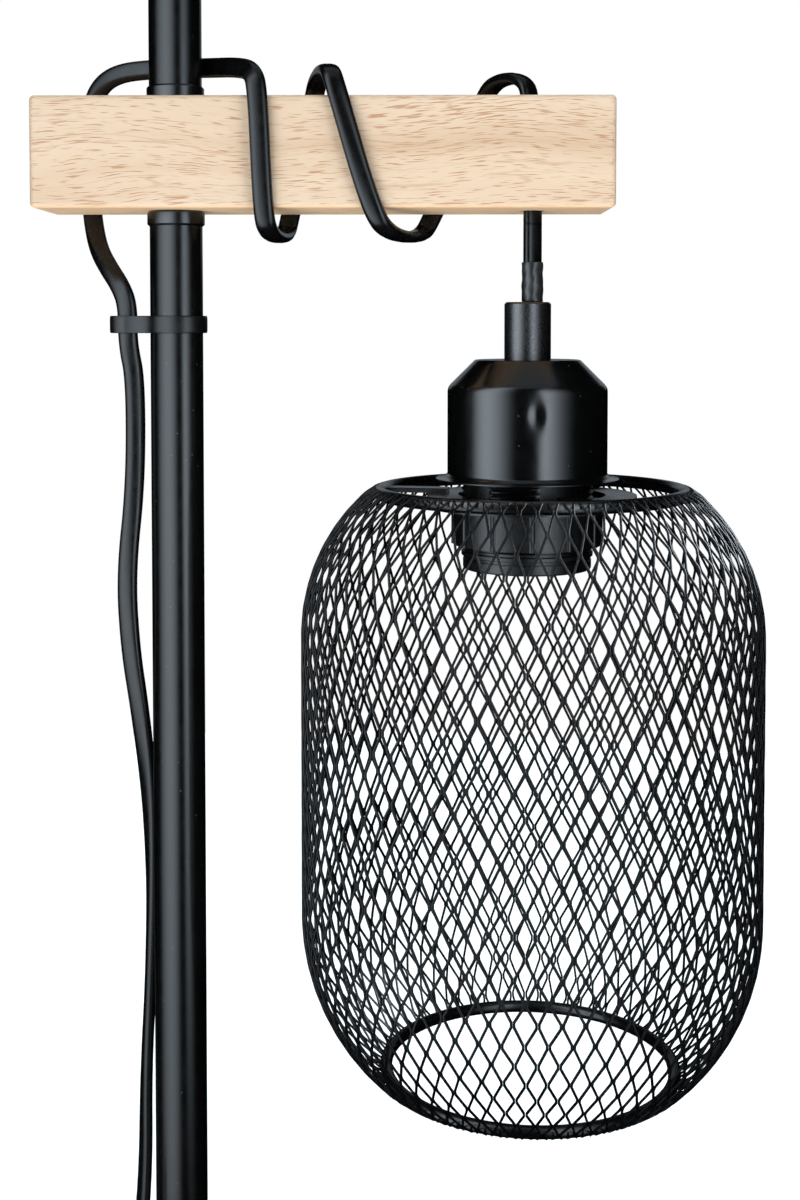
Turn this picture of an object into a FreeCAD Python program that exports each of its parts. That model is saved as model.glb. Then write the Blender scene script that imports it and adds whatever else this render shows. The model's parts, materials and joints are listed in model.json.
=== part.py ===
import FreeCAD, Part
import math
import operator
import os
from types import SimpleNamespace

import Sketcher

# Table lamp: a round foot, a steel post, a wooden arm round which the cord is wound, and a
# wire-mesh shade that hangs from its lampholder at the end of the arm.
# Frame: origin at the centre of the foot's underside, X along the arm to the shade, Y to the
# back, Z up. Millimetres.

Vector = FreeCAD.Vector
UP = Vector(0, 0, 1)
doc = FreeCAD.newDocument("table_lamp")
sheet = doc.addObject("Spreadsheet::Sheet", "size")

DRIVING_SIZES = {
    # Foot
    "foot_d": 180.0,
    "foot_thick": 8.0,
    "foot_round": 2.0,
    "pad_d": 172.0,
    "pad_thick": 1.5,
    "recess_d": 26.0,
    "recess_depth": 6.0,
    "washer_d": 22.0,
    "washer_thick": 1.2,
    "nut_across": 14.0,
    "nut_thick": 4.0,
    # Post
    "rod_d": 10.0,
    "rod_hole_clear": 0.2,
    "thread_clear": 0.1,
    "tube_d": 16.0,
    "tube_wall": 1.5,
    "lower_tube_len": 352.9,
    "upper_tube_len": 44.0,
    "insert_len": 16.0,
    "insert_clear": 0.05,
    "collar_d": 17.4,
    "collar_len": 4.6,
    "collar_edge": 0.6,
    "cap_thick": 3.0,
    "cap_plug_len": 6.0,
    "cap_round": 1.2,
    # Arm
    "arm_left": 40.9,
    "arm_right": 131.9,
    "arm_height": 33.0,
    "arm_depth": 35.0,
    "arm_round": 1.5,
    "cord_hole_d": 7.4,
    "shade_x": 108.5,
    # Cord and the tie that holds it to the post
    "cord_d": 4.8,
    "cord_gap": 0.3,
    "tie_drop": 34.4,
    "tie_height": 5.2,
    "tie_thick": 1.2,
    "tie_cord_x": 15.0,
    "tie_cord_d": 5.8,
    "tie_slack": 0.2,
    "tie_head": 6.0,
    "tie_head_out": 3.4,
    # Hanging stretch of cord
    "swing_rise": 1.0,
    "swing_span": 9.0,
    "pendant_drop": 15.4,
    # Lampholder, which hangs a little to the left of the cord
    "holder_shift": 1.4,
    "shrink_d": 6.6,
    "shrink_len": 12.2,
    "shrink_clear": 0.1,
    "stem_d": 14.2,
    "stem_len": 17.5,
    "stem_edge": 0.6,
    "spigot_len": 8.0,
    "grip_screw_d": 3.0,
    "grip_screw_drop": 8.0,
    "cup_top_d": 32.0,
    "cup_d": 48.8,
    "cup_cone": 8.4,
    "cup_len": 36.6,
    "cup_wall": 1.0,
    "brim_d": 56.0,
    "brim_len": 1.9,
    "dome_d": 42.0,
    "dome_len": 20.0,
    "dome_slope": 8.0,
    "dome_wall": 2.0,
    "dome_neck_d": 17.0,
    "barrel_d": 40.2,
    "barrel_bore_d": 30.0,
    "barrel_len": 46.8,
    "barrel_spigot_len": 4.0,
    "barrel_fit": 0.15,
    "barrel_groove": 0.9,
    "barrel_groove_depth": 1.0,
    "barrel_lip": 3.2,
    "barrel_ridge": 1.4,
    "block_len": 18.0,
    "block_clear": 0.15,
    "socket_bore_d": 26.6,
    "socket_wall": 0.5,
    "socket_len": 22.0,
    "socket_inset": 2.0,
    "contact_d": 7.0,
    "contact_len": 3.5,
    "terminal_d": 4.0,
    "terminal_len": 5.0,
    "terminal_pitch": 16.0,
    # Shade
    "ring_nut_flange_d": 62.0,
    "ring_nut_flange": 2.2,
    "ring_nut_d": 45.4,
    "ring_nut_len": 13.6,
    "ring_nut_fit": 0.15,
    "ring_nut_rib_d": 2.0,
    "ring_nut_ribs": 12,
    "hub_gap": 4.6,
    "hub_d": 64.0,
    "hub_thick": 1.5,
    "hub_clear": 2.4,
    "spoke_wide": 6.0,
    "spoke_lap": 6.0,
    "spoke_thick": 1.5,
    "weld_gap": 0.1,
    "top_ring_d": 93.2,
    "top_ring_wire": 4.0,
    "bottom_ring_d": 89.2,
    "bottom_ring_wire": 3.8,
    "shade_len": 178.7,
    "mesh_d": 140.6,
    "mesh_shoulder": 44.5,
    "mesh_foot": 50.0,
    "mesh_strand": 1.2,
    "mesh_thick": 1.0,
    "mesh_clear": 0.2,
    "mesh_bond_gap": 0.12,
    "mesh_round": 36,
    "mesh_rows": 16,
    # Cord switch
    "switch_x": 140.0,
    "switch_y": 50.0,
    "switch_len": 60.0,
    "switch_wide": 22.0,
    "switch_split": 7.0,
    "switch_high": 15.0,
    "switch_wall": 2.0,
    "switch_cavity_len": 36.0,
    "switch_cavity_wide": 17.0,
    "switch_round": 2.5,
    "switch_cord_z": 7.5,
    "rocker_len": 16.0,
    "rocker_wide": 9.0,
    "rocker_below": 0.7,
    "rocker_proud": 1.6,
    "rocker_dip": 0.8,
    "rocker_gap": 0.8,
    "rocker_tilt": 7.0,
    "rocker_pin_d": 3.0,
    "rocker_pin_len": 15.0,
    "rocker_pin_clear": 0.2,
    "rocker_post": 2.0,
    "switch_screw_d": 2.6,
    "switch_screw_head_d": 4.6,
    "switch_screw_head": 1.6,
    "switch_screw_sunk": 0.3,
    "switch_screw_clear": 0.1,
    "switch_screw_len": 10.0,
    "switch_screw_x": 22.0,
    "switch_screw_y": 7.0,
    "contact_strip_len": 9.0,
    "contact_strip_wide": 5.0,
    "contact_strip": 0.8,
    # Coil of spare cord
    "coil_x": 155.0,
    "coil_y": 20.0,
    "coil_d": 82.0,
    "coil_pitch": 6.2,
    "coil_layer": 5.6,
    "coil_turns": 3,
    "coil_tie_wide": 6.0,
    "coil_tie_thick": 0.7,
    "coil_tie_gap": 0.4,
    # Plug
    "plug_x": 161.0,
    "plug_y": 82.0,
    "plug_boot_len": 25.0,
    "plug_boot_d": 10.0,
    "plug_boot_end_d": 7.0,
    "plug_boot_root": 4.0,
    "plug_len": 36.0,
    "plug_rear_wide": 14.0,
    "plug_wide": 35.0,
    "plug_front_wide": 30.0,
    "plug_shoulder": 14.0,
    "plug_front_bevel": 6.0,
    "plug_thick": 13.7,
    "plug_round": 2.0,
    "pin_d": 4.0,
    "pin_len": 19.0,
    "pin_pitch": 18.6,
    "pin_round": 1.0,
}


class Length:
    """A number together with the sheet expression that gives it."""

    def __init__(self, number, text):
        self.number = number
        self.text = text

    def __add__(self, other):
        return combined(self, other, "+", operator.add)

    def __sub__(self, other):
        return combined(self, other, "-", operator.sub)

    def __mul__(self, other):
        return combined(self, other, "*", operator.mul)

    def __truediv__(self, other):
        return combined(self, other, "/", operator.truediv)

    def __neg__(self):
        return combined(ZERO, self, "-", operator.sub)


def as_length(value):
    if isinstance(value, Length):
        return value
    return Length(value, str(value))


def combined(first, second, sign, work):
    first, second = as_length(first), as_length(second)
    return Length(work(first.number, second.number), f"({first.text} {sign} {second.text})")


ZERO = Length(0, "0")


def fill_sheet():
    """Write the driving sizes to the sheet and return them by name."""
    lengths = {}
    for row, (alias, value) in enumerate(DRIVING_SIZES.items(), 1):
        sheet.set(f"A{row}", alias)
        sheet.set(f"B{row}", str(value))
        sheet.setAlias(f"B{row}", alias)
        lengths[alias] = Length(value, f"size.{alias}")
    doc.recompute()
    return SimpleNamespace(**lengths)


v = fill_sheet()


def bind(item, **lengths):
    """Tie an object's properties to the sheet."""
    for name, length in lengths.items():
        item.setExpression(name, as_length(length).text)


def place(item, x=ZERO, y=ZERO, z=ZERO):
    """Tie an object's place to the sheet."""
    for axis, length in (("x", x), ("y", y), ("z", z)):
        item.setExpression(f".Placement.Base.{axis}", as_length(length).text)


def new_body(label, x=ZERO, y=ZERO, z=ZERO):
    body = doc.addObject("PartDesign::Body", label)
    place(body, x, y, z)
    return body


def new_sketch(body, name, role):
    sketch = body.newObject("Sketcher::SketchObject", name)
    planes = [feature for feature in body.Origin.OriginFeatures if feature.Role == role]
    sketch.AttachmentSupport = [(planes[0], "")]
    sketch.MapMode = "FlatFace"
    return sketch


def fix_point(sketch, item, end, across, up):
    """Tie one point of a sketch to its distances from the sketch's axes."""
    for kind, axis, length in (("DistanceX", -2, across), ("DistanceY", -1, up)):
        length = as_length(length)
        if length.text == ZERO.text:
            sketch.addConstraint(Sketcher.Constraint("PointOnObject", item, end, axis))
            continue
        index = sketch.addConstraint(Sketcher.Constraint(kind, -1, 1, item, end, length.number))
        sketch.setExpression(f"Constraints[{index}]", length.text)


def draw_outline(sketch, corners):
    """Draw a closed outline whose corners are tied to the sheet."""
    corners = [(as_length(across), as_length(up)) for across, up in corners]
    spots = [Vector(across.number, up.number, 0) for across, up in corners]
    count = len(corners)
    for index in range(count):
        sketch.addGeometry(Part.LineSegment(spots[index], spots[(index + 1) % count]), False)
    for index in range(count):
        sketch.addConstraint(Sketcher.Constraint("Coincident", index, 2, (index + 1) % count, 1))
        fix_point(sketch, index, 1, *corners[index])


def draw_circle(sketch, across, up, radius):
    """Draw a circle whose centre and radius are tied to the sheet."""
    centre = Vector(as_length(across).number, as_length(up).number, 0)
    circle = sketch.addGeometry(Part.Circle(centre, UP, radius.number), False)
    fix_point(sketch, circle, 3, across, up)
    index = sketch.addConstraint(Sketcher.Constraint("Radius", circle, radius.number))
    sketch.setExpression(f"Constraints[{index}]", radius.text)


def turn(body, corners):
    """Revolve an outline of radii and heights about the body's upright axis."""
    sketch = new_sketch(body, f"{body.Name}_section", "XZ_Plane")
    draw_outline(sketch, corners)
    feature = body.newObject("PartDesign::Revolution", f"{body.Name}_turn")
    feature.Profile = sketch
    feature.ReferenceAxis = (sketch, ["V_Axis"])
    feature.Angle = 360.0
    sketch.Visibility = False
    return body


def turned(label, corners, x=ZERO, y=ZERO, z=ZERO):
    return turn(new_body(label, x, y, z), corners)


def washer(label, inner, outer, thick, x=ZERO, y=ZERO, z=ZERO):
    """A plain ring or tube between two radii."""
    corners = [(inner, ZERO), (outer, ZERO), (outer, thick), (inner, thick)]
    return turned(label, corners, x, y, z)


def pad(body, corners, height, name="pad"):
    sketch = new_sketch(body, f"{body.Name}_{name}_plan", "XY_Plane")
    draw_outline(sketch, corners)
    feature = body.newObject("PartDesign::Pad", f"{body.Name}_{name}")
    feature.Profile = sketch
    bind(feature, Length=height)
    return feature


def rectangle(length, wide):
    """Corners of a rectangle about the origin."""
    return [
        (-length / 2, -wide / 2),
        (length / 2, -wide / 2),
        (length / 2, wide / 2),
        (-length / 2, wide / 2),
    ]


def cut_up(body, draw, name, depth=None):
    """Cut upwards from the body's base plane, right through where no depth is given."""
    doc.recompute()
    volume = body.Shape.Volume
    sketch = new_sketch(body, f"{body.Name}_{name}_plan", "XY_Plane")
    draw(sketch)
    feature = body.newObject("PartDesign::Pocket", f"{body.Name}_{name}")
    feature.Profile = sketch
    feature.Reversed = True
    if depth is None:
        feature.Type = "ThroughAll"
    else:
        bind(feature, Length=depth)
    doc.recompute()
    if body.Shape.Volume >= volume:
        raise RuntimeError(f"{feature.Name} cuts nothing")


def round_edges(body, radius, chosen):
    """Fillet the edges of the body that the test chooses."""
    doc.recompute()
    base = body.Tip
    names = [f"Edge{number}" for number, edge in enumerate(base.Shape.Edges, 1) if chosen(edge)]
    feature = body.newObject("PartDesign::Fillet", f"{body.Name}_round")
    feature.Base = (base, names)
    bind(feature, Radius=radius)


def is_ring(edge, radius, height):
    """True for a full circle of this radius at this height of its body."""
    curve = edge.Curve
    if not isinstance(curve, Part.Circle) or len(edge.Vertexes) > 1:
        return False
    return abs(curve.Radius - radius.number) < 1e-6 and abs(curve.Center.z - height.number) < 1e-6


def cylinder(label, radius, height, x=ZERO, y=ZERO, z=ZERO):
    item = doc.addObject("Part::Cylinder", label)
    bind(item, Radius=radius, Height=height)
    place(item, x, y, z)
    return item


def boolean(kind, label, base, tool):
    item = doc.addObject(f"Part::{kind}", label)
    item.Base = base
    item.Tool = tool
    return item


def feature_from(label, shape):
    item = doc.addObject("Part::Feature", label)
    item.Shape = shape
    return item


PARTS = []


def keep(*items):
    PARTS.extend(items)


# Heights of the stack, from the table up
plate_z = v.pad_thick
foot_top = plate_z + v.foot_thick
collar_z = foot_top + v.lower_tube_len
arm_z = collar_z + v.collar_len
arm_top = arm_z + v.arm_height
upper_tube_z = arm_top + v.collar_len
post_top = upper_tube_z + v.upper_tube_len

# Heights of the pendant, from the arm down
swing_z = arm_z + v.swing_rise
tilt_z = swing_z - v.swing_span
shrink_top = arm_z - v.pendant_drop
stem_top = shrink_top - v.shrink_len
cup_top = stem_top - v.stem_len
cup_bottom = cup_top - v.cup_len
dome_z = cup_top - v.cup_wall - v.dome_len
barrel_z = dome_z + v.barrel_spigot_len - v.barrel_len
hub_z = cup_bottom - v.hub_gap - v.hub_thick
hub_top = hub_z + v.hub_thick
spoke_mid = hub_top + v.spoke_thick / 2
bottom_ring_z = spoke_mid - v.shade_len

# Where the lampholder's axis stands
holder_x = v.shade_x - v.holder_shift

# Radii that several pieces share
rod_r = v.rod_d / 2
rod_hole_r = rod_r + v.rod_hole_clear
thread_r = rod_r + v.thread_clear
tube_r = v.tube_d / 2
tube_bore_r = tube_r - v.tube_wall
cord_r = v.cord_d / 2
barrel_r = v.barrel_d / 2
barrel_bore_r = v.barrel_bore_d / 2
socket_bore_r = v.socket_bore_d / 2


def make_foot():
    rubber = cylinder("foot_pad", v.pad_d / 2, v.pad_thick)
    plate = turned("foot_plate", [
        (rod_hole_r, v.recess_depth),
        (v.recess_d / 2, v.recess_depth),
        (v.recess_d / 2, ZERO),
        (v.foot_d / 2, ZERO),
        (v.foot_d / 2, v.foot_thick),
        (rod_hole_r, v.foot_thick),
    ], z=plate_z)
    round_edges(plate, v.foot_round, lambda edge: is_ring(edge, v.foot_d / 2, v.foot_thick))
    seat = plate_z + v.recess_depth
    washer_z = seat - v.washer_thick
    nut_z = washer_z - v.nut_thick
    seal = washer("foot_washer", rod_hole_r, v.washer_d / 2, v.washer_thick, z=washer_z)
    hexagon = doc.addObject("Part::Prism", "foot_nut_hexagon")
    hexagon.Polygon = 6
    bind(hexagon, Circumradius=v.nut_across / 2 / math.cos(math.pi / 6), Height=v.nut_thick)
    thread = cylinder("foot_nut_thread", thread_r, v.nut_thick)
    nut = boolean("Cut", "foot_nut", hexagon, thread)
    place(nut, z=nut_z)
    nipple_len = foot_top + v.insert_len - nut_z
    nipple = cylinder("foot_nipple", rod_r, nipple_len, z=nut_z)
    keep(rubber, plate, seal, nut, nipple)


def make_collar(label, z):
    edge = v.collar_edge
    radius = v.collar_d / 2
    keep(turned(label, [
        (rod_hole_r, ZERO),
        (radius - edge, ZERO),
        (radius, edge),
        (radius, v.collar_len - edge),
        (radius - edge, v.collar_len),
        (rod_hole_r, v.collar_len),
    ], z=z))


def make_post():
    keep(washer("lower_tube", tube_bore_r, tube_r, v.lower_tube_len, z=foot_top))
    keep(washer("upper_tube", tube_bore_r, tube_r, v.upper_tube_len, z=upper_tube_z))
    insert_r = tube_bore_r - v.insert_clear
    insert_places = {
        "lower_tube_foot_insert": foot_top,
        "lower_tube_top_insert": collar_z - v.insert_len,
        "upper_tube_insert": upper_tube_z,
    }
    for label, z in insert_places.items():
        keep(washer(label, thread_r, insert_r, v.insert_len, z=z))
    make_collar("lower_collar", collar_z)
    make_collar("upper_collar", arm_top)
    rod_len = v.insert_len * 2 + v.collar_len * 2 + v.arm_height
    keep(cylinder("arm_rod", rod_r, rod_len, z=collar_z - v.insert_len))
    cap = turned("top_cap", [
        (ZERO, ZERO),
        (insert_r, ZERO),
        (insert_r, v.cap_plug_len),
        (tube_r, v.cap_plug_len),
        (tube_r, v.cap_plug_len + v.cap_thick),
        (ZERO, v.cap_plug_len + v.cap_thick),
    ], z=post_top - v.cap_plug_len)
    cap_height = v.cap_plug_len + v.cap_thick
    round_edges(cap, v.cap_round, lambda edge: is_ring(edge, tube_r, cap_height))
    keep(cap)


def make_arm():
    arm = new_body("arm", z=arm_z)
    half = v.arm_depth / 2
    pad(arm, [(-v.arm_left, -half), (v.arm_right, -half), (v.arm_right, half), (-v.arm_left, half)],
        v.arm_height)
    round_edges(arm, v.arm_round, lambda edge: True)

    def holes(sketch):
        draw_circle(sketch, ZERO, ZERO, rod_hole_r)
        draw_circle(sketch, v.shade_x, ZERO, v.cord_hole_d / 2)

    cut_up(arm, holes, "holes")
    keep(arm)


def spot(x, y, z):
    """A point from sizes of the sheet."""
    return Vector(*(as_length(length).number for length in (x, y, z)))


def straight(start, finish):
    return Part.LineSegment(start, finish).toShape()


def disc_wire(centre, normal, radius):
    return Part.Wire(Part.Circle(centre, normal, radius).toShape())


def swept(label, edges, start, heading):
    """A round cord along the edges, checked against its section times its length."""
    path = Part.Wire(edges)
    shape = path.makePipeShell([disc_wire(start, heading, cord_r.number)], True, False)
    expected = math.pi * cord_r.number ** 2 * path.Length
    share = shape.Volume / expected
    print(f"{label}: length {path.Length:.1f} mm, volume {share:.4f} of section times length")
    if abs(share - 1) > 0.01:
        raise RuntimeError(f"{label} has the wrong volume")
    return shape


CORNER_SHARE = 0.45


def route_edges(label, points):
    """Straight runs joined by tangent arcs, each arc as large as its two runs allow."""
    edges = []
    radii = []
    start = points[0]
    for before, corner, after in zip(points, points[1:], points[2:]):
        back = before - corner
        ahead = after - corner
        reach = CORNER_SHARE * min(back.Length, ahead.Length)
        half_turn = (math.pi - back.getAngle(ahead)) / 2
        bend = reach / math.tan(half_turn)
        back.normalize()
        ahead.normalize()
        inward = (back + ahead).normalize()
        middle = corner + inward * (math.hypot(bend, reach) - bend)
        edges.append(straight(start, corner + back * reach))
        edges.append(Part.Arc(corner + back * reach, middle, corner + ahead * reach).toShape())
        start = corner + ahead * reach
        radii.append(bend)
    edges.append(straight(start, points[-1]))
    print(f"{label}: bend radii", [round(radius, 1) for radius in radii])
    return edges


LEAST_GAP = 0.4
GAP_STEP = 2.0


def check_gap(label, edges, clear_length):
    """Measure how near the cord comes to itself, on points that are a length apart along it."""
    points = Part.Wire(edges).discretize(Distance=GAP_STEP)
    skip = int(clear_length / GAP_STEP)
    nearest = min(
        (points[first] - points[second]).Length
        for first in range(len(points))
        for second in range(first + skip, len(points))
    )
    gap = nearest - v.cord_d.number
    print(f"{label}: least gap to itself {gap:.2f} mm")
    if gap < LEAST_GAP:
        raise RuntimeError(f"{label} touches itself")


# The cord's route, chosen by hand: out of the arm, twice round it, behind the post to the tie
WINDING_ROUTE = [
    (108.5, 0.0, 401.5),
    (105.0, 4.5, 408.2),
    (97.5, 14.5, 408.2),
    (94.0, 20.7, 402.5),
    (78.4, 20.7, 366.6),
    (74.5, 14.5, 359.4),
    (65.0, -13.5, 359.2),
    (60.0, -20.7, 366.0),
    (49.6, -20.7, 402.0),
    (47.4, -14.5, 408.8),
    (42.6, 13.5, 409.2),
    (40.6, 20.7, 402.5),
    (33.4, 20.7, 366.5),
    (32.0, 14.0, 359.2),
    (29.4, -14.0, 359.2),
    (28.2, -20.7, 365.5),
    (26.8, -20.7, 401.0),
    (25.0, -16.5, 407.8),
    (19.5, -5.0, 410.8),
    (9.0, 9.0, 411.8),
    (-9.0, 13.8, 412.3),
    (-21.5, 15.5, 411.4),
    (-28.0, 18.6, 406.0),
    (-30.0, 20.7, 397.0),
    (-29.8, 20.7, 373.0),
    (-28.4, 17.4, 363.5),
    (-25.6, 11.2, 355.5),
    (-21.4, 5.4, 349.5),
    (-17.6, 1.6, 344.6),
]

# Down beside the post, over the foot and on to the switch
DROP_ROUTE = [
    (-12.8, 0.3, 316.0),
    (-13.0, 0.4, 284.0),
    (-16.2, 0.5, 256.0),
    (-15.1, 0.8, 233.0),
    (-12.6, 2.4, 214.0),
    (-10.2, 4.6, 190.0),
    (-9.4, 5.8, 160.0),
    (-10.1, 5.2, 128.0),
    (-11.5, 3.2, 98.0),
    (-11.5, 1.6, 70.0),
    (-13.2, 0.2, 46.0),
    (-19.0, -1.8, 28.0),
    (-31.0, -6.5, 16.0),
    (-47.0, -14.5, 12.6),
    (-64.0, -25.0, 12.4),
    (-80.0, -36.0, 13.0),
    (-90.5, -43.6, 11.2),
    (-98.0, -48.2, 8.8),
]

# From the switch round to the coil
TAIL_ROUTE = [
    (-183.5, -49.2, 6.6),
    (-192.5, -46.0, 4.9),
    (-199.5, -39.5, 3.9),
    (-203.5, -28.0, 3.7),
    (-203.0, -14.0, 3.7),
    (-199.0, -1.0, 3.7),
]

# From the coil to the plug
END_ROUTE = [
    (-196.8, 40.0, 9.0),
    (-198.0, 54.0, 7.6),
    (-195.0, 68.0, 6.9),
    (-186.0, 77.6, 6.8),
    (-175.4, 81.4, 6.9),
]


def hand_route(points):
    return [Vector(*point) for point in points]


def make_cords():
    exit_point = spot(v.shade_x, ZERO, swing_z + cord_r + v.cord_gap)
    tie_z = arm_z - v.tie_drop
    tie_point = spot(-v.tie_cord_x, ZERO, tie_z)
    tie_run = Vector(0, 0, v.tie_height.number * 1.2)
    end_run = Vector(v.cord_d.number * 1.2, 0, 0)
    switch_end = spot(-v.switch_x + v.switch_len / 2, -v.switch_y, v.switch_cord_z)
    switch_far = spot(-v.switch_x - v.switch_len / 2, -v.switch_y, v.switch_cord_z)
    coil_run = Vector(0, v.cord_d.number, 0)
    coil_start = spot(-v.coil_x - v.coil_d / 2, v.coil_y, coil_z()) - coil_run
    coil_finish = coil_end() + coil_run
    plug_entry = spot(-v.plug_x, v.plug_y, v.plug_thick / 2)
    winding = [exit_point, *hand_route(WINDING_ROUTE), tie_point + tie_run, tie_point]
    drop = [tie_point, tie_point - tie_run, *hand_route(DROP_ROUTE), switch_end + end_run,
            switch_end]
    tail = [switch_far, switch_far - end_run, *hand_route(TAIL_ROUTE), coil_start - coil_run * 2,
            coil_start]
    end = [coil_finish, coil_finish + coil_run * 2, *hand_route(END_ROUTE), plug_entry - end_run,
           plug_entry]
    routes = {"cord_winding": winding, "cord_drop": drop, "cord_tail": tail, "cord_end": end}
    for label, points in routes.items():
        edges = route_edges(label, points)
        check_gap(label, edges, v.arm_depth.number)
        keep(feature_from(label, swept(label, edges, points[0], points[1] - points[0])))


def coil_z():
    """Height of the coil's lower layer, over the tie that runs under it."""
    return cord_r + v.coil_tie_thick + v.coil_tie_gap * 2


def coil_end():
    """Where the coil's outer turn ends, one layer above its start."""
    return spot(-v.coil_x - v.coil_d / 2, v.coil_y, coil_z() + v.coil_layer)


def half_turn_arc(start, finish, heading):
    """Half a turn in a plane, leaving its start along the heading."""
    centre = (start + finish) / 2
    top = centre + heading * ((finish - start).Length / 2)
    return Part.Arc(start, top, finish).toShape()


def climbing_half_turn(start, finish, heading):
    """Half a turn that climbs a layer: two arcs that share a tangent at their joint."""
    span = finish - start
    middle = (start + finish) / 2 + heading * (span.Length / 2)
    return [tangent_arc(start, middle, heading), tangent_arc(finish, middle, heading)]


def tangent_arc(start, finish, heading):
    """The arc from start to finish that leaves its start along the heading."""
    chord = finish - start
    side = chord - heading * chord.dot(heading)
    side.normalize()
    radius = chord.dot(chord) / (2 * chord.dot(side))
    centre = start + side * radius
    bulge = (start + finish) / 2 - centre
    bulge.normalize()
    return Part.Arc(start, centre + bulge * radius, finish).toShape()


def coil_edges():
    """Spiral in on the lower layer, climb in the half turn where it reverses, and spiral out."""
    pitch = v.coil_pitch.number
    low = coil_z().number
    centre_x = -v.coil_x.number
    y = v.coil_y.number
    along = Vector(0, v.cord_d.number, 0)
    half_turns = 2 * v.coil_turns.number
    reach = v.coil_d.number / 2
    here = Vector(centre_x - reach, y, low)
    edges = [straight(here - along, here)]
    side = 1
    width = 2 * reach - pitch / 2
    for _ in range(half_turns):
        there = here + Vector(side * width, 0, 0)
        edges.append(half_turn_arc(here, there, Vector(0, side, 0)))
        here = there
        side = -side
        width -= pitch
    there = here + Vector(side * width, 0, v.coil_layer.number)
    edges.extend(climbing_half_turn(here, there, Vector(0, side, 0)))
    here = there
    side = -side
    for _ in range(half_turns - 1):
        width += pitch
        there = here + Vector(side * width, 0, 0)
        edges.append(half_turn_arc(here, there, Vector(0, side, 0)))
        here = there
        side = -side
    edges.append(straight(here, here + along))
    return edges


def make_coil():
    edges = coil_edges()
    start = edges[0].Vertexes[0].Point
    shape = swept("cord_coil", edges, start, Vector(0, 1, 0))
    check_gap("cord_coil", edges, v.coil_d.number / 2)
    keep(feature_from("cord_coil", shape))


def belt_face(big, small, apart):
    """The area inside a belt round two circles, the small one to the left of the big one."""
    lean = (big - small) / apart
    rise = math.sqrt(1 - lean ** 2)
    left = Vector(-apart, 0, 0)
    upper = Vector(-lean, rise, 0)
    lower = Vector(-lean, -rise, 0)
    edges = [
        Part.Arc(upper * big, Vector(big, 0, 0), lower * big).toShape(),
        straight(lower * big, left + lower * small),
        Part.Arc(left + lower * small, left - Vector(small, 0, 0), left + upper * small).toShape(),
        straight(left + upper * small, upper * big),
    ]
    return Part.Face(Part.Wire(edges))


def make_cable_tie():
    """A ratchet tie round the post and the cord, with its head behind the post."""
    inner_post = (tube_r + v.tie_slack).number
    inner_cord = (v.tie_cord_d / 2 + v.tie_slack).number
    thick = v.tie_thick.number
    apart = v.tie_cord_x.number
    band = belt_face(inner_post + thick, inner_cord + thick, apart)
    band = band.cut(belt_face(inner_post, inner_cord, apart))
    height = v.tie_height.number
    tie = band.extrude(UP * height)
    head_size = v.tie_head.number
    head_corner = Vector(-head_size / 2, inner_post + thick / 2, 0)
    head = Part.makeBox(head_size, thick / 2 + v.tie_head_out.number, height, head_corner)
    item = feature_from("cable_tie", tie.fuse(head).removeSplitter())
    place(item, z=arm_z - v.tie_drop - v.tie_height / 2)
    keep(item)


def cord_with_round_top(label, low, high):
    """An upright piece of cord that ends in a half ball, so it can swing about its top."""
    rod = cylinder(f"{label}_run", cord_r, high - low, x=v.shade_x, z=low)
    ball = doc.addObject("Part::Sphere", f"{label}_top")
    bind(ball, Radius=cord_r)
    place(ball, x=v.shade_x, z=high)
    keep(boolean("Fuse", label, rod, ball))


def make_pendant_cord():
    cord_with_round_top("pendant_link", tilt_z + cord_r + v.cord_gap, swing_z)
    cord_with_round_top("pendant_cord", cup_top - v.spigot_len, tilt_z)
    inner = cord_r + v.shrink_clear
    keep(washer("heat_shrink_sleeve", inner, v.shrink_d / 2, v.shrink_len, x=v.shade_x, z=stem_top))


def lying_along_y(item):
    """Turn an upright piece so that it points to the back."""
    item.Placement = FreeCAD.Placement(Vector(), FreeCAD.Rotation(Vector(1, 0, 0), -90))


def make_stem():
    radius = v.stem_d / 2
    bore = cord_r + v.holder_shift + v.shrink_clear
    shoulder = v.spigot_len
    top = shoulder + v.stem_len
    blank = turned("stem_blank", [
        (bore, ZERO),
        (rod_r, ZERO),
        (rod_r, shoulder),
        (radius, shoulder),
        (radius, top - v.stem_edge),
        (radius - v.stem_edge, top),
        (bore, top),
    ], x=holder_x, z=cup_top - v.spigot_len)
    screw_z = stem_top - v.grip_screw_drop
    screw_r = v.grip_screw_d / 2
    hole = cylinder("grip_screw_hole", screw_r + v.thread_clear, v.stem_d)
    lying_along_y(hole)
    place(hole, x=v.shade_x, z=screw_z)
    keep(boolean("Cut", "stem_sleeve", blank, hole))
    seat = cord_r + v.cord_gap
    screw = cylinder("grip_screw", screw_r, radius - seat - v.stem_edge)
    lying_along_y(screw)
    place(screw, x=v.shade_x, y=seat, z=screw_z)
    keep(screw)


def make_cup():
    wall = v.cup_wall
    radius = v.cup_d / 2
    top_r = v.cup_top_d / 2
    shoulder = v.cup_len - v.cup_cone
    cup = turned("lamp_cup", [
        (radius - wall, ZERO),
        (v.brim_d / 2, ZERO),
        (v.brim_d / 2, wall / 2),
        (radius, v.brim_len),
        (radius, shoulder),
        (top_r, v.cup_len),
        (rod_hole_r, v.cup_len),
        (rod_hole_r, v.cup_len - wall),
        (top_r - wall / 2, v.cup_len - wall),
        (radius - wall, shoulder - wall / 2),
    ], x=holder_x, z=cup_bottom)
    keep(cup)


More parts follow.
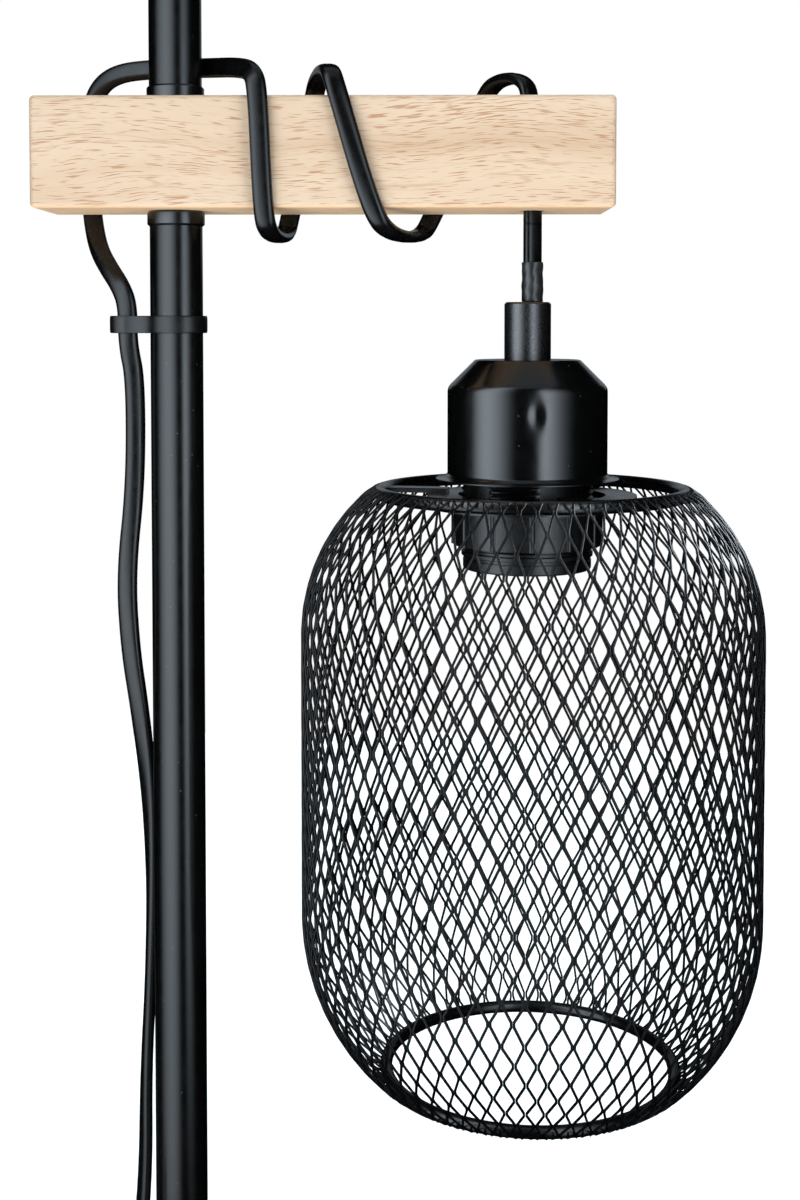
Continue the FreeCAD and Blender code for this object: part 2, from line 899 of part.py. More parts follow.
def make_holder():
    neck_r = v.dome_neck_d / 2
    dome_r = v.dome_d / 2
    inner_r = dome_r - v.dome_wall
    eave = v.dome_len - v.dome_slope
    neck_foot = v.dome_len - v.spigot_len + v.cup_wall
    keep(turned("holder_dome", [
        (thread_r, neck_foot),
        (thread_r, v.dome_len),
        (neck_r, v.dome_len),
        (dome_r, eave),
        (dome_r, ZERO),
        (inner_r, ZERO),
        (inner_r, eave - v.dome_wall / 2),
        (neck_r, neck_foot),
    ], x=holder_x, z=dome_z))
    lip = v.barrel_lip
    groove_r = barrel_r - v.barrel_groove_depth
    spigot_r = inner_r - v.barrel_fit
    ridge = lip + v.barrel_groove
    second = ridge + v.barrel_ridge
    thread = second + v.barrel_groove
    shoulder = v.barrel_len - v.barrel_spigot_len
    keep(turned("holder_barrel", [
        (barrel_bore_r, ZERO),
        (barrel_r - v.barrel_groove_depth / 2, ZERO),
        (barrel_r - v.barrel_groove_depth / 2, lip),
        (groove_r, lip),
        (groove_r, ridge),
        (barrel_r, ridge),
        (barrel_r, second),
        (groove_r, second),
        (groove_r, thread),
        (barrel_r, thread),
        (barrel_r, shoulder),
        (spigot_r, shoulder),
        (spigot_r, v.barrel_len),
        (barrel_bore_r, v.barrel_len),
    ], x=holder_x, z=barrel_z))
    shell_z = barrel_z + v.socket_inset
    block_z = shell_z + v.socket_len
    shell_r = socket_bore_r + v.socket_wall
    keep(washer("screw_shell", socket_bore_r, shell_r, v.socket_len, x=holder_x, z=shell_z))
    block_r = barrel_bore_r - v.block_clear
    contact_r = v.contact_d / 2
    block = cylinder("terminal_block_blank", block_r, v.block_len, x=holder_x, z=block_z)
    pocket = cylinder("terminal_block_pocket", contact_r + v.block_clear, v.contact_len,
                      x=holder_x, z=block_z)
    keep(boolean("Cut", "terminal_block", block, pocket))
    keep(turned("centre_contact", [
        (ZERO, ZERO),
        (contact_r / 2, ZERO),
        (contact_r, v.contact_len / 2),
        (contact_r, v.contact_len),
        (ZERO, v.contact_len),
    ], x=holder_x, z=block_z))
    screws = []
    for side in (-1, 1):
        x = holder_x + v.terminal_pitch / 2 * side
        screws.append(cylinder(f"terminal_screw_{len(screws) + 1}", v.terminal_d / 2, v.terminal_len,
                               x=x, z=block_z + v.block_len))
    keep(group("terminal_screws", screws))


def group(label, items):
    """Several alike solids in one node."""
    item = doc.addObject("Part::Compound", label)
    item.Links = items
    return item


def make_ring_nut():
    skirt_r = v.ring_nut_d / 2
    flange_z = v.ring_nut_len - v.ring_nut_flange
    bore = barrel_r + v.ring_nut_fit
    nut = turned("shade_ring_nut", [
        (bore, ZERO),
        (skirt_r, ZERO),
        (skirt_r, flange_z),
        (v.ring_nut_flange_d / 2, flange_z),
        (v.ring_nut_flange_d / 2, v.ring_nut_len),
        (bore, v.ring_nut_len),
    ], x=holder_x, z=hub_z - v.ring_nut_len)
    plan = new_sketch(nut, "ring_nut_rib_plan", "XY_Plane")
    draw_circle(plan, skirt_r - v.ring_nut_rib_d / 4, ZERO, v.ring_nut_rib_d / 2)
    rib = nut.newObject("PartDesign::Pad", "ring_nut_rib")
    rib.Profile = plan
    bind(rib, Length=flange_z)
    doc.recompute()
    ribs = nut.newObject("PartDesign::PolarPattern", "ring_nut_rib_pattern")
    ribs.Originals = [rib]
    ribs.Axis = (plan, ["N_Axis"])
    ribs.Angle = 360.0
    bind(ribs, Occurrences=v.ring_nut_ribs)
    nut.Tip = ribs
    keep(nut)


def make_shade_frame():
    keep(washer("shade_hub", barrel_r + v.hub_clear, v.hub_d / 2, v.hub_thick, x=v.shade_x, z=hub_z))
    ring_inner = (v.top_ring_d - v.top_ring_wire) / 2
    start = v.hub_d / 2 - v.spoke_lap
    spokes = []
    for angle in (-71, 49, 169):
        spoke = doc.addObject("Part::Box", f"spoke_{len(spokes) + 1}")
        bind(spoke, Length=ring_inner - v.weld_gap - start, Width=v.spoke_wide, Height=v.spoke_thick)
        spokes.append(spoke)
        across = Vector(math.cos(math.radians(angle)), math.sin(math.radians(angle)), 0)
        spoke.Placement = FreeCAD.Placement(Vector(), FreeCAD.Rotation(UP, angle))
        place(spoke,
              x=v.shade_x + start * across.x + v.spoke_wide / 2 * across.y,
              y=start * across.y - v.spoke_wide / 2 * across.x,
              z=hub_top)
    keep(group("shade_spokes", spokes))
    rings = {
        "shade_top_ring": (v.top_ring_d, v.top_ring_wire, spoke_mid),
        "shade_bottom_ring": (v.bottom_ring_d, v.bottom_ring_wire, bottom_ring_z),
    }
    for label, (wide, wire, z) in rings.items():
        ring = doc.addObject("Part::Torus", label)
        bind(ring, Radius1=wide / 2, Radius2=wire / 2)
        place(ring, x=v.shade_x, z=z)
        keep(ring)


def mesh_profile():
    """The mesh's half section, arc, straight side and arc, and its point at the top ring."""
    lay = (v.mesh_clear + v.mesh_thick / 2).number
    side = v.mesh_d.number / 2
    top_r = (v.top_ring_d + v.top_ring_wire).number / 2 + lay
    low_r = (v.bottom_ring_d + v.bottom_ring_wire).number / 2 + lay
    top_z = (spoke_mid + v.top_ring_wire / 4).number
    low_z = (bottom_ring_z - v.bottom_ring_wire / 4).number
    side_top = Vector(side, 0, top_z - v.mesh_shoulder.number)
    side_low = Vector(side, 0, low_z + v.mesh_foot.number)
    top = Vector(top_r, 0, top_z)
    low = Vector(low_r, 0, low_z)
    return Part.Wire([
        tangent_arc(side_top, top, UP),
        straight(side_top, side_low),
        tangent_arc(side_low, low, -UP),
    ]), top


def make_mesh():
    """Expanded mesh: upright zigzag strands that meet their neighbours at every row."""
    profile, top = mesh_profile()
    rows = v.mesh_rows.number
    strands = 2 * v.mesh_round.number
    levels = profile.discretize(Number=rows + 1)
    if (levels[0] - top).Length > (levels[-1] - top).Length:
        levels.reverse()
    step = 2 * math.pi / strands
    half_wide = v.mesh_strand.number / 2
    half_thick = v.mesh_thick.number / 2
    solids = []
    for strand in range(strands):
        sections = []
        for row, level in enumerate(levels):
            ahead = levels[min(row + 1, rows)] - levels[max(row - 1, 0)]
            outward = ahead.cross(Vector(0, 1, 0)).normalize()
            if outward.x < 0:
                outward = -outward
            swing = step / 2 - (half_wide + v.mesh_bond_gap.number / 2) / level.x
            side = 1 if (strand + row) % 2 == 0 else -1
            corners = [
                level + outward * (half_thick * out) + Vector(0, half_wide * across, 0)
                for out, across in ((-1, -1), (1, -1), (1, 1), (-1, 1))
            ]
            section = Part.makePolygon(corners + corners[:1])
            angle = math.degrees(strand * step + side * swing)
            section.rotate(Vector(), UP, angle)
            sections.append(section)
        solids.append(Part.makeLoft(sections, True, True))
    item = feature_from("shade_mesh", Part.makeCompound(solids))
    place(item, x=v.shade_x)
    keep(item)


def make_switch():
    x = -v.switch_x
    y = -v.switch_y
    cavity = rectangle(v.switch_cavity_len, v.switch_cavity_wide)
    slot = rectangle(v.rocker_len + v.rocker_gap * 2, v.rocker_wide + v.rocker_gap)
    shank_r = v.switch_screw_d / 2
    head_r = v.switch_screw_head_d / 2
    hole_r = shank_r + v.switch_screw_clear
    recess_r = head_r + v.switch_screw_clear
    screw_spots = [(-v.switch_screw_x, v.switch_screw_y), (v.switch_screw_x, -v.switch_screw_y)]
    cover_high = v.switch_high - v.switch_split
    pin_r = v.rocker_pin_d / 2
    pin_z = v.switch_high - v.switch_wall - pin_r - v.rocker_pin_clear

    def circles(radius):
        def draw(sketch):
            for across, up in screw_spots:
                draw_circle(sketch, across, up, radius)
        return draw

    base = new_body("switch_base_blank", x, y)
    pad(base, rectangle(v.switch_len, v.switch_wide), v.switch_split)
    round_edges(base, v.switch_round, lambda edge: is_upright(edge) or lies_at(edge, ZERO))
    cut_up(base, circles(hole_r), "holes")
    cut_up(base, circles(recess_r), "recess", v.switch_screw_sunk + v.switch_screw_head)
    hollow = doc.addObject("Part::Box", "switch_base_hollow")
    bind(hollow, Length=v.switch_cavity_len, Width=v.switch_cavity_wide, Height=v.switch_split)
    place(hollow, x - v.switch_cavity_len / 2, y - v.switch_cavity_wide / 2, v.switch_wall)
    tray = boolean("Cut", "switch_tray", base, hollow)
    for index, side in enumerate((-1, 1), 1):
        post = doc.addObject("Part::Box", f"rocker_post_{index}")
        post_y = (v.rocker_wide + v.rocker_pin_len) / 4 * side - v.rocker_post / 2
        bind(post, Length=v.rocker_pin_d, Width=v.rocker_post,
             Height=pin_z - pin_r - v.rocker_pin_clear - v.switch_wall)
        place(post, x - v.rocker_pin_d / 2, y + post_y, v.switch_wall)
        tray = boolean("Fuse", "switch_base" if side > 0 else "switch_tray_post", tray, post)
    cover = new_body("switch_cover", x, y, v.switch_split)
    pad(cover, rectangle(v.switch_len, v.switch_wide), cover_high)
    round_edges(cover, v.switch_round, lambda edge: is_upright(edge) or lies_at(edge, cover_high))
    cut_up(cover, lambda sketch: draw_outline(sketch, cavity), "hollow", cover_high - v.switch_wall)
    cut_up(cover, lambda sketch: draw_outline(sketch, slot), "slot")
    screw_top = v.switch_screw_sunk + v.switch_screw_len - v.switch_split
    cut_up(cover, circles(hole_r), "holes", screw_top + v.switch_screw_clear)
    screws = []
    for index, (across, up) in enumerate(screw_spots, 1):
        screws.append(turned(f"switch_screw_{index}", [
            (ZERO, ZERO),
            (head_r, ZERO),
            (head_r, v.switch_screw_head),
            (shank_r, v.switch_screw_head),
            (shank_r, v.switch_screw_len),
            (ZERO, v.switch_screw_len),
        ], x + across, y + up, v.switch_screw_sunk))
    strips = []
    strip_len = v.contact_strip_len
    for side in (-1, 1):
        strip = doc.addObject("Part::Box", f"contact_strip_{len(strips) + 1}")
        bind(strip, Length=strip_len, Width=v.contact_strip_wide, Height=v.contact_strip)
        inner_end = v.rocker_pin_d * side - strip_len * (1 - side) / 2
        place(strip, x + inner_end, y - v.contact_strip_wide / 2, v.switch_wall)
        strips.append(strip)
    keep(tray, cover, group("switch_screws", screws), group("switch_contacts", strips))
    make_rocker(x, y, pin_z, pin_r)


def is_upright(edge):
    tangent = edge.tangentAt(edge.FirstParameter)
    return abs(tangent.z) > 0.99


def lies_at(edge, height):
    return all(abs(vertex.Z - height.number) < 1e-6 for vertex in edge.Vertexes)


def make_rocker(x, y, pin_z, pin_r):
    """A rocker on its pin, at rest with one end down."""
    half = v.rocker_len / 2
    top = v.switch_high + v.rocker_proud - pin_z
    block = new_body("rocker_block")
    section = new_sketch(block, "rocker_section", "XZ_Plane")
    draw_outline(section, [
        (-half, -v.rocker_below),
        (half, -v.rocker_below),
        (half, top),
        (ZERO, top - v.rocker_dip),
        (-half, top),
    ])
    width = block.newObject("PartDesign::Pad", "rocker_width")
    width.Profile = section
    width.Midplane = True
    bind(width, Length=v.rocker_wide)
    pin = cylinder("rocker_pin", pin_r, v.rocker_pin_len)
    lying_along_y(pin)
    place(pin, y=-v.rocker_pin_len / 2)
    rocker = boolean("Fuse", "switch_rocker", block, pin)
    rocker.Placement = FreeCAD.Placement(Vector(), FreeCAD.Rotation(Vector(0, 1, 0), 1))
    place(rocker, x, y, pin_z)
    rocker.setExpression(".Placement.Rotation.Angle", v.rocker_tilt.text)
    keep(rocker)


def lying_along_x(item):
    """Turn an upright piece so that it points to the right."""
    item.Placement = FreeCAD.Placement(Vector(), FreeCAD.Rotation(Vector(0, 1, 0), 90))


def make_plug():
    rear_x = -v.plug_x + v.plug_boot_len
    mid_z = v.plug_thick / 2
    half_rear = v.plug_rear_wide / 2
    half_wide = v.plug_wide / 2
    half_front = v.plug_front_wide / 2
    bevel_x = v.plug_len - v.plug_front_bevel
    block = new_body("plug_block", rear_x, v.plug_y)
    pad(block, [
        (ZERO, -half_rear),
        (v.plug_shoulder, -half_wide),
        (bevel_x, -half_wide),
        (v.plug_len, -half_front),
        (v.plug_len, half_front),
        (bevel_x, half_wide),
        (v.plug_shoulder, half_wide),
        (ZERO, half_rear),
    ], v.plug_thick)
    round_edges(block, v.plug_round, lambda edge: True)
    boot = doc.addObject("Part::Cone", "plug_boot")
    bind(boot, Radius1=v.plug_boot_end_d / 2, Radius2=v.plug_boot_d / 2,
         Height=v.plug_boot_len + v.plug_boot_root)
    lying_along_x(boot)
    place(boot, -v.plug_x, v.plug_y, mid_z)
    keep(boolean("Fuse", "plug_body", block, boot))
    pins = []
    for side in (-1, 1):
        pin = cylinder(f"plug_pin_blank_{len(pins) + 1}", v.pin_d / 2, v.pin_len)
        lying_along_x(pin)
        place(pin, rear_x + v.plug_len, v.plug_y + v.pin_pitch / 2 * side, mid_z)
        doc.recompute()
        tip = doc.addObject("Part::Fillet", f"plug_pin_{len(pins) + 1}")
        tip.Base = pin
        far = [number for number, edge in enumerate(pin.Shape.Edges, 1)
               if edge.BoundBox.XMin > pin.Shape.BoundBox.XMax - v.pin_d.number / 10]
        tip.Edges = [(number, v.pin_round.number, v.pin_round.number) for number in far]
        pins.append(tip)
    keep(group("plug_pins", pins))


def make_coil_tie():
    """A flat strap round the bundle of turns, on the coil's right side."""
    gap = v.coil_tie_gap
    thick = v.coil_tie_thick
    near = v.coil_d / 2 - v.coil_pitch / 2 - v.coil_pitch * v.coil_turns - cord_r - gap
    far = v.coil_d / 2 - v.coil_pitch / 2 + cord_r + gap
    high = v.coil_layer + cord_r * 2 + gap * 2
    frames = []
    for label, margin in (("coil_tie_outside", thick), ("coil_tie_inside", ZERO)):
        frame = doc.addObject("Part::Box", label)
        bind(frame, Length=far - near + margin * 2, Width=v.coil_tie_wide, Height=high + margin * 2)
        place(frame, near - margin - v.coil_x, v.coil_y - v.coil_tie_wide / 2, gap + thick - margin)
        frames.append(frame)
    keep(boolean("Cut", "coil_tie", *frames))


def check_and_export():
    for item in doc.Objects:
        if {"Invalid", "Error"} & set(item.State):
            raise RuntimeError(f"{item.Name} failed: {item.State}")
    for item in PARTS:
        if item.Shape.isNull() or not item.Shape.isValid():
            raise RuntimeError(f"{item.Label} has no valid shape")
    os.makedirs("parts", exist_ok=True)
    for item in PARTS:
        item.Shape.exportStep(f"parts/{item.Label}.step")
        box = item.Shape.BoundBox
        low = [round(edge, 1) for edge in (box.XMin, box.YMin, box.ZMin)]
        high = [round(edge, 1) for edge in (box.XMax, box.YMax, box.ZMax)]
        print(item.Label, "solids", len(item.Shape.Solids), "from", low, "to", high)


make_foot()
make_post()
make_arm()
make_cable_tie()
make_coil()
make_cords()
make_coil_tie()
make_switch()
make_plug()
make_pendant_cord()
make_stem()
make_cup()
make_holder()
make_ring_nut()
make_shade_frame()
make_mesh()
doc.recompute()
check_and_export()
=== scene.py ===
import json
import math
import random

import bpy
import numpy as np
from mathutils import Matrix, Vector


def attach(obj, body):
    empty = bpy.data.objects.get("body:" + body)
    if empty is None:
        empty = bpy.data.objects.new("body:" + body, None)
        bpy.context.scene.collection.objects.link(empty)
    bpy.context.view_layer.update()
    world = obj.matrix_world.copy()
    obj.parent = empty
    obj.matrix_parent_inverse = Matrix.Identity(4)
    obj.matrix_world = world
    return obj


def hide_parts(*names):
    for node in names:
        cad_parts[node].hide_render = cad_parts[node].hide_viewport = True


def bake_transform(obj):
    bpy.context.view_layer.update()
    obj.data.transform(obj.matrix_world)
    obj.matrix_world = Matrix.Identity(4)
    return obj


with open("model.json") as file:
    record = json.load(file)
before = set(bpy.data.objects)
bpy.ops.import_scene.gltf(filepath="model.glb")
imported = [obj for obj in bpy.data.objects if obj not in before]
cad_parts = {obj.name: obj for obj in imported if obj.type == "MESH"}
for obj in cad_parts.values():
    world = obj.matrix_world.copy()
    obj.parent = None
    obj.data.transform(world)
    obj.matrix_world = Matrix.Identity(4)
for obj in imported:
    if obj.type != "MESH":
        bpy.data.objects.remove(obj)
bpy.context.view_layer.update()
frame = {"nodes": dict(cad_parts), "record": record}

# Looks of the table lamp. Pieces are measured in millimetres of the CAD frame, and MM turns them into metres.
# The camera, the floor and the lights are placed in metres.
MM = 0.001
SHADE_X = 108.5
HOLDER_X = 107.1
FRONT = (0.0, -1.0, 0.0)
UP = (0.0, 0.0, 1.0)
LEFT = (-1.0, 0.0, 0.0)

# The camera, fitted to the arm, the post and the shade in an 800 x 1200 picture
IMAGE_HEIGHT = 1200
FOCAL_PIXELS = 1696.3
AXIS_ROW = 400
SENSOR_MM = 36.0
NEAREST = 0.01
CAMERA_PLACE = (0.0727, -0.5180, 0.3335)
CAMERA_TURN = (87.35, 0.0, 0.5)


def make_camera():
    data = bpy.data.cameras.new("camera")
    data.sensor_width = SENSOR_MM
    data.lens = SENSOR_MM * FOCAL_PIXELS / IMAGE_HEIGHT
    data.shift_y = (AXIS_ROW - IMAGE_HEIGHT / 2) / IMAGE_HEIGHT
    data.clip_start = NEAREST
    camera = bpy.data.objects.new("camera", data)
    camera.location = CAMERA_PLACE
    camera.rotation_euler = [math.radians(angle) for angle in CAMERA_TURN]
    bpy.context.scene.collection.objects.link(camera)
    bpy.context.scene.camera = camera


make_camera()


# Materials: a Principled shader with procedural colour, roughness and grain


# Most values of a noise texture lie between these
NOISE_LOW, NOISE_HIGH = 0.3, 0.7


class Finish:
    """A procedural material: texture outputs are made by short calls and linked to its shader."""

    def __init__(self, name, **sockets):
        self.material = bpy.data.materials.new(name)
        self.material.use_nodes = True
        self.tree = self.material.node_tree
        self.shader = self.tree.nodes["Principled BSDF"]
        self.place = self.tree.nodes.new("ShaderNodeTexCoord").outputs["Object"]
        for socket, value in sockets.items():
            self.shader.inputs[socket.replace("_", " ")].default_value = value

    def feed(self, socket, value):
        """Links a texture output to a socket, or gives the socket a plain value."""
        if isinstance(value, bpy.types.NodeSocket):
            self.tree.links.new(value, socket)
        else:
            socket.default_value = value

    def node(self, kind, inputs, **settings):
        made = self.tree.nodes.new(kind)
        for setting, value in settings.items():
            setattr(made, setting, value)
        for socket, value in inputs.items():
            self.feed(made.inputs[socket], value)
        return made

    def stretched(self, per_metre):
        """Object coordinates scaled to so many features a metre along X, Y and Z."""
        return self.node("ShaderNodeMapping", {"Vector": self.place, "Scale": per_metre}).outputs[0]

    def noise(self, per_metre, detail=2.0, rough=0.5):
        at = self.stretched(per_metre)
        inputs = {"Vector": at, "Scale": 1.0, "Detail": detail, "Roughness": rough}
        return self.node("ShaderNodeTexNoise", inputs).outputs["Fac"]

    def cells(self, per_metre):
        at = self.stretched(per_metre)
        return self.node("ShaderNodeTexVoronoi", {"Vector": at, "Scale": 1.0}).outputs["Distance"]

    def math(self, operation, first, second):
        return self.node("ShaderNodeMath", {0: first, 1: second}, operation=operation).outputs[0]

    def span(self, value, low, high, new_low, new_high):
        inputs = {"Value": value, "From Min": low, "From Max": high, "To Min": new_low, "To Max": new_high}
        return self.node("ShaderNodeMapRange", inputs).outputs[0]

    def varied(self, noise, low, high):
        """A number that runs from low to high over a noise's usual values."""
        return self.span(noise, NOISE_LOW, NOISE_HIGH, low, high)

    def ramp(self, value, stops):
        made = self.node("ShaderNodeValToRGB", {"Fac": value})
        elements = made.color_ramp.elements
        while len(elements) < len(stops):
            elements.new(0.5)
        for element, (position, colour) in zip(elements, stops):
            element.position = position
            element.color = (*colour, 1.0)
        return made.outputs["Color"]

    def tones(self, noise, dark, light):
        """A colour that runs from dark to light over a noise's usual values."""
        return self.ramp(noise, [(NOISE_LOW, dark), (NOISE_HIGH, light)])

    def mix(self, share, first, second):
        """Two colours mixed. The mix node's sockets for colours have the numbers 6, 7 and, going out, 2."""
        return self.node("ShaderNodeMix", {0: share, 6: first, 7: second}, data_type="RGBA").outputs[2]

    def colour(self, output):
        self.feed(self.shader.inputs["Base Color"], output)

    def roughness(self, output):
        self.feed(self.shader.inputs["Roughness"], output)

    def bump(self, height, strength, depth_mm):
        inputs = {"Height": height, "Strength": strength, "Distance": depth_mm * MM}
        self.feed(self.shader.inputs["Normal"], self.node("ShaderNodeBump", inputs).outputs["Normal"])


def grey(level):
    """A grey that is a little blue."""
    return (level, level, level * 1.03)


def evenly(per_metre):
    return (per_metre, per_metre, per_metre)


def powder_coat(name, rough, shine):
    """Black satin powder coat: fine orange-peel grain, cloudy gloss and a few specks of dust."""
    made = Finish(name, Specular_IOR_Level=shine)
    black = made.tones(made.noise(evenly(60), detail=4), grey(0.0007), grey(0.0014))
    speck = made.span(made.cells(evenly(260)), 0.035, 0.06, 1.0, 0.0)
    made.colour(made.mix(speck, black, (*grey(0.05), 1.0)))
    made.roughness(made.varied(made.noise(evenly(240), detail=3), rough - 0.03, rough + 0.03))
    made.bump(made.noise(evenly(1500), detail=3, rough=0.6), strength=0.15, depth_mm=0.02)
    return made.material


def sparkling_coat():
    """The stem's coat: a deeper grain, whose small facets catch the light."""
    made = Finish("sparkling_coat", Specular_IOR_Level=0.8)
    grain = made.noise(evenly(1900), detail=3, rough=0.6)
    made.colour(made.ramp(grain, [(0.3, grey(0.001)), (0.75, grey(0.003))]))
    made.roughness(made.varied(grain, 0.24, 0.4))
    made.bump(grain, strength=0.6, depth_mm=0.07)
    return made.material


def mesh_coat():
    """The same coat on the thin strands, with less sheen and a finer grain."""
    made = Finish("mesh_coat", Specular_IOR_Level=0.2)
    cloud = made.noise(evenly(500), detail=3)
    made.colour(made.tones(cloud, grey(0.0007), grey(0.0016)))
    made.roughness(made.varied(cloud, 0.16, 0.26))
    made.bump(made.noise(evenly(2400), detail=2), strength=0.3, depth_mm=0.04)
    return made.material


def grained_plastic(name, level, rough, shine, grain, depth_mm):
    """Black moulded plastic with a fine even grain."""
    made = Finish(name, Specular_IOR_Level=shine)
    made.colour(made.tones(made.noise(evenly(90), detail=3), grey(level * 0.8), grey(level * 1.25)))
    made.roughness(made.varied(made.noise(evenly(420), detail=3), rough - 0.05, rough + 0.06))
    made.bump(made.noise(evenly(grain), detail=2), strength=0.3, depth_mm=depth_mm)
    return made.material


def cord_sheath():
    """Soft black PVC: glossy, with faint drawing waves and dull patches."""
    made = Finish("cord_sheath", Specular_IOR_Level=0.28)
    made.colour(made.tones(made.noise(evenly(140), detail=4), grey(0.001), grey(0.002)))
    made.roughness(made.varied(made.noise(evenly(330), detail=4), 0.20, 0.30))
    made.bump(made.noise(evenly(420), detail=3), strength=0.18, depth_mm=0.09)
    return made.material


def shrink_film():
    """Heat-shrink film: dull grey-black, with small wrinkles round it."""
    made = Finish("shrink_film", Specular_IOR_Level=0.45)
    cloud = made.noise(evenly(300), detail=3)
    made.colour(made.tones(cloud, grey(0.007), grey(0.013)))
    made.roughness(made.varied(cloud, 0.28, 0.38))
    made.bump(made.noise((260, 260, 700), detail=3), strength=0.4, depth_mm=0.12)
    return made.material


WOOD_BANDS = [
    (0.25, (0.315, 0.205, 0.125)),
    (0.5, (0.373, 0.267, 0.180)),
    (0.75, (0.405, 0.300, 0.212)),
]
FLECK_COLOUR = (0.22, 0.097, 0.040, 1.0)
LINE_COLOUR = (0.24, 0.135, 0.072, 1.0)
# Painted bounce light: the underside is painted warmer and brighter, as if lit from below, up to where the
# sides begin (metres)
PAINTED_BOUNCE_COLOUR = (0.52, 0.325, 0.18, 1.0)
PAINTED_BOUNCE_SHARE = 0.85
PAINTED_BOUNCE_LOW, PAINTED_BOUNCE_HIGH = 0.3671, 0.3680
GRAIN_SWAY = 0.0035


def pale_wood():
    """Pale wood: soft bands, short brown flecks along the swaying grain, a few fine wavy lines, and painted
    bounce light that makes the underside warmer and brighter.
    """
    made = Finish("pale_wood", Specular_IOR_Level=0.35)
    height = made.node("ShaderNodeSeparateXYZ", {0: made.place}).outputs["Z"]
    # Painted bounce light: the share of the warmer, brighter underside colour, full below the arm's lower
    # edge
    painted_bounce = made.span(height, PAINTED_BOUNCE_LOW, PAINTED_BOUNCE_HIGH, PAINTED_BOUNCE_SHARE, 0.0)
    sway = made.varied(made.noise((13, 22, 22), detail=1), -GRAIN_SWAY, GRAIN_SWAY)
    lift = made.node("ShaderNodeCombineXYZ", {"Z": sway}).outputs[0]
    made.place = made.node("ShaderNodeVectorMath", {0: made.place, 1: lift}).outputs[0]

    bands = made.noise((4, 60, 75), detail=4)
    density = made.noise((20, 60, 60), detail=2)
    dash = made.noise((170, 2900, 2900), detail=1, rough=0.4)
    crowded = made.math("ADD", dash, made.varied(density, -0.06, 0.045))
    fleck = made.span(crowded, 0.57, 0.67, 0.0, 0.75)
    contour = made.math("SUBTRACT", made.noise((7, 120, 120), detail=2), 0.5)
    distance = made.node("ShaderNodeMath", {0: contour}, operation="ABSOLUTE").outputs[0]
    line = made.span(distance, 0.002, 0.007, 0.38, 0.0)

    flecked = made.mix(fleck, made.ramp(bands, WOOD_BANDS), FLECK_COLOUR)
    lined = made.mix(line, flecked, LINE_COLOUR)
    # The painted bounce light goes over the grain on the underside
    made.colour(made.mix(painted_bounce, lined, PAINTED_BOUNCE_COLOUR))
    made.roughness(made.varied(bands, 0.52, 0.62))
    fibres = made.noise((60, 1500, 1500), detail=3)
    pores = made.math("MULTIPLY", fleck, 0.6)
    made.bump(made.math("SUBTRACT", fibres, pores), strength=0.25, depth_mm=0.08)
    return made.material


def bare_metal(name, colour, rough, brush):
    """Plated or bright metal with fine drawing marks and faint staining."""
    made = Finish(name, Metallic=1.0)
    cloud = made.noise(evenly(160), detail=4)
    dull = tuple(part * 0.82 for part in colour)
    made.colour(made.tones(cloud, dull, colour))
    made.roughness(made.varied(cloud, rough, rough + 0.14))
    made.bump(made.noise(brush, detail=2), strength=0.2, depth_mm=0.03)
    return made.material


def ceramic():
    """Unglazed pale ceramic with fine pores."""
    made = Finish("block_ceramic", Specular_IOR_Level=0.4)
    cloud = made.noise(evenly(200), detail=4)
    made.colour(made.tones(cloud, (0.66, 0.63, 0.57), (0.80, 0.78, 0.73)))
    made.roughness(made.varied(cloud, 0.62, 0.78))
    made.bump(made.noise(evenly(1800), detail=3), strength=0.3, depth_mm=0.05)
    return made.material


def pad_rubber():
    """Dull black rubber."""
    made = Finish("pad_rubber", Specular_IOR_Level=0.3)
    cloud = made.noise(evenly(180), detail=4)
    made.colour(made.tones(cloud, grey(0.006), grey(0.012)))
    made.roughness(made.varied(cloud, 0.74, 0.9))
    made.bump(made.noise(evenly(1300), detail=3), strength=0.5, depth_mm=0.08)
    return made.material


FINISHES = {
    "powder_coat": powder_coat("powder_coat", rough=0.23, shine=0.5),
    "pad_rubber": pad_rubber(),
    "pale_wood": pale_wood(),
    "cord_sheath": cord_sheath(),
    "shrink_film": shrink_film(),
    "tie_nylon": grained_plastic(
        "tie_nylon", level=0.0015, rough=0.30, shine=0.28, grain=900, depth_mm=0.05),
    "holder_plastic": grained_plastic(
        "holder_plastic", level=0.0015, rough=0.32, shine=0.5, grain=1500, depth_mm=0.04),
    "block_ceramic": ceramic(),
    "switch_plastic": grained_plastic(
        "switch_plastic", level=0.004, rough=0.45, shine=0.5, grain=1300, depth_mm=0.06),
    "plug_plastic": grained_plastic(
        "plug_plastic", level=0.004, rough=0.42, shine=0.5, grain=1300, depth_mm=0.06),
    "zinc_steel": bare_metal("zinc_steel", (0.58, 0.58, 0.59), rough=0.26, brush=(300, 300, 2400)),
    "contact_brass": bare_metal("contact_brass", (0.80, 0.58, 0.27), rough=0.2, brush=(300, 300, 1800)),
    "pin_nickel": bare_metal("pin_nickel", (0.68, 0.67, 0.64), rough=0.16, brush=(200, 2200, 2200)),
}
MESH_COAT = mesh_coat()
STEM_COAT = sparkling_coat()
CUP_COAT = powder_coat("cup_coat", rough=0.19, shine=0.5)
POST_COAT = powder_coat("post_coat", rough=0.22, shine=0.36)


def dress_nodes():
    """Gives every CAD node the finish of its material slot, or its own kind of coat."""
    for subpart in frame["record"]["subparts"]:
        mesh = frame["nodes"][subpart["node"]].data
        mesh.materials.clear()
        mesh.materials.append(FINISHES[subpart["material_slot"]])
    own_coats = {"stem_sleeve": STEM_COAT, "lower_tube": POST_COAT, "upper_tube": POST_COAT}
    for node, coat in own_coats.items():
        frame["nodes"][node].data.materials[0] = coat


dress_nodes()


# Shapes


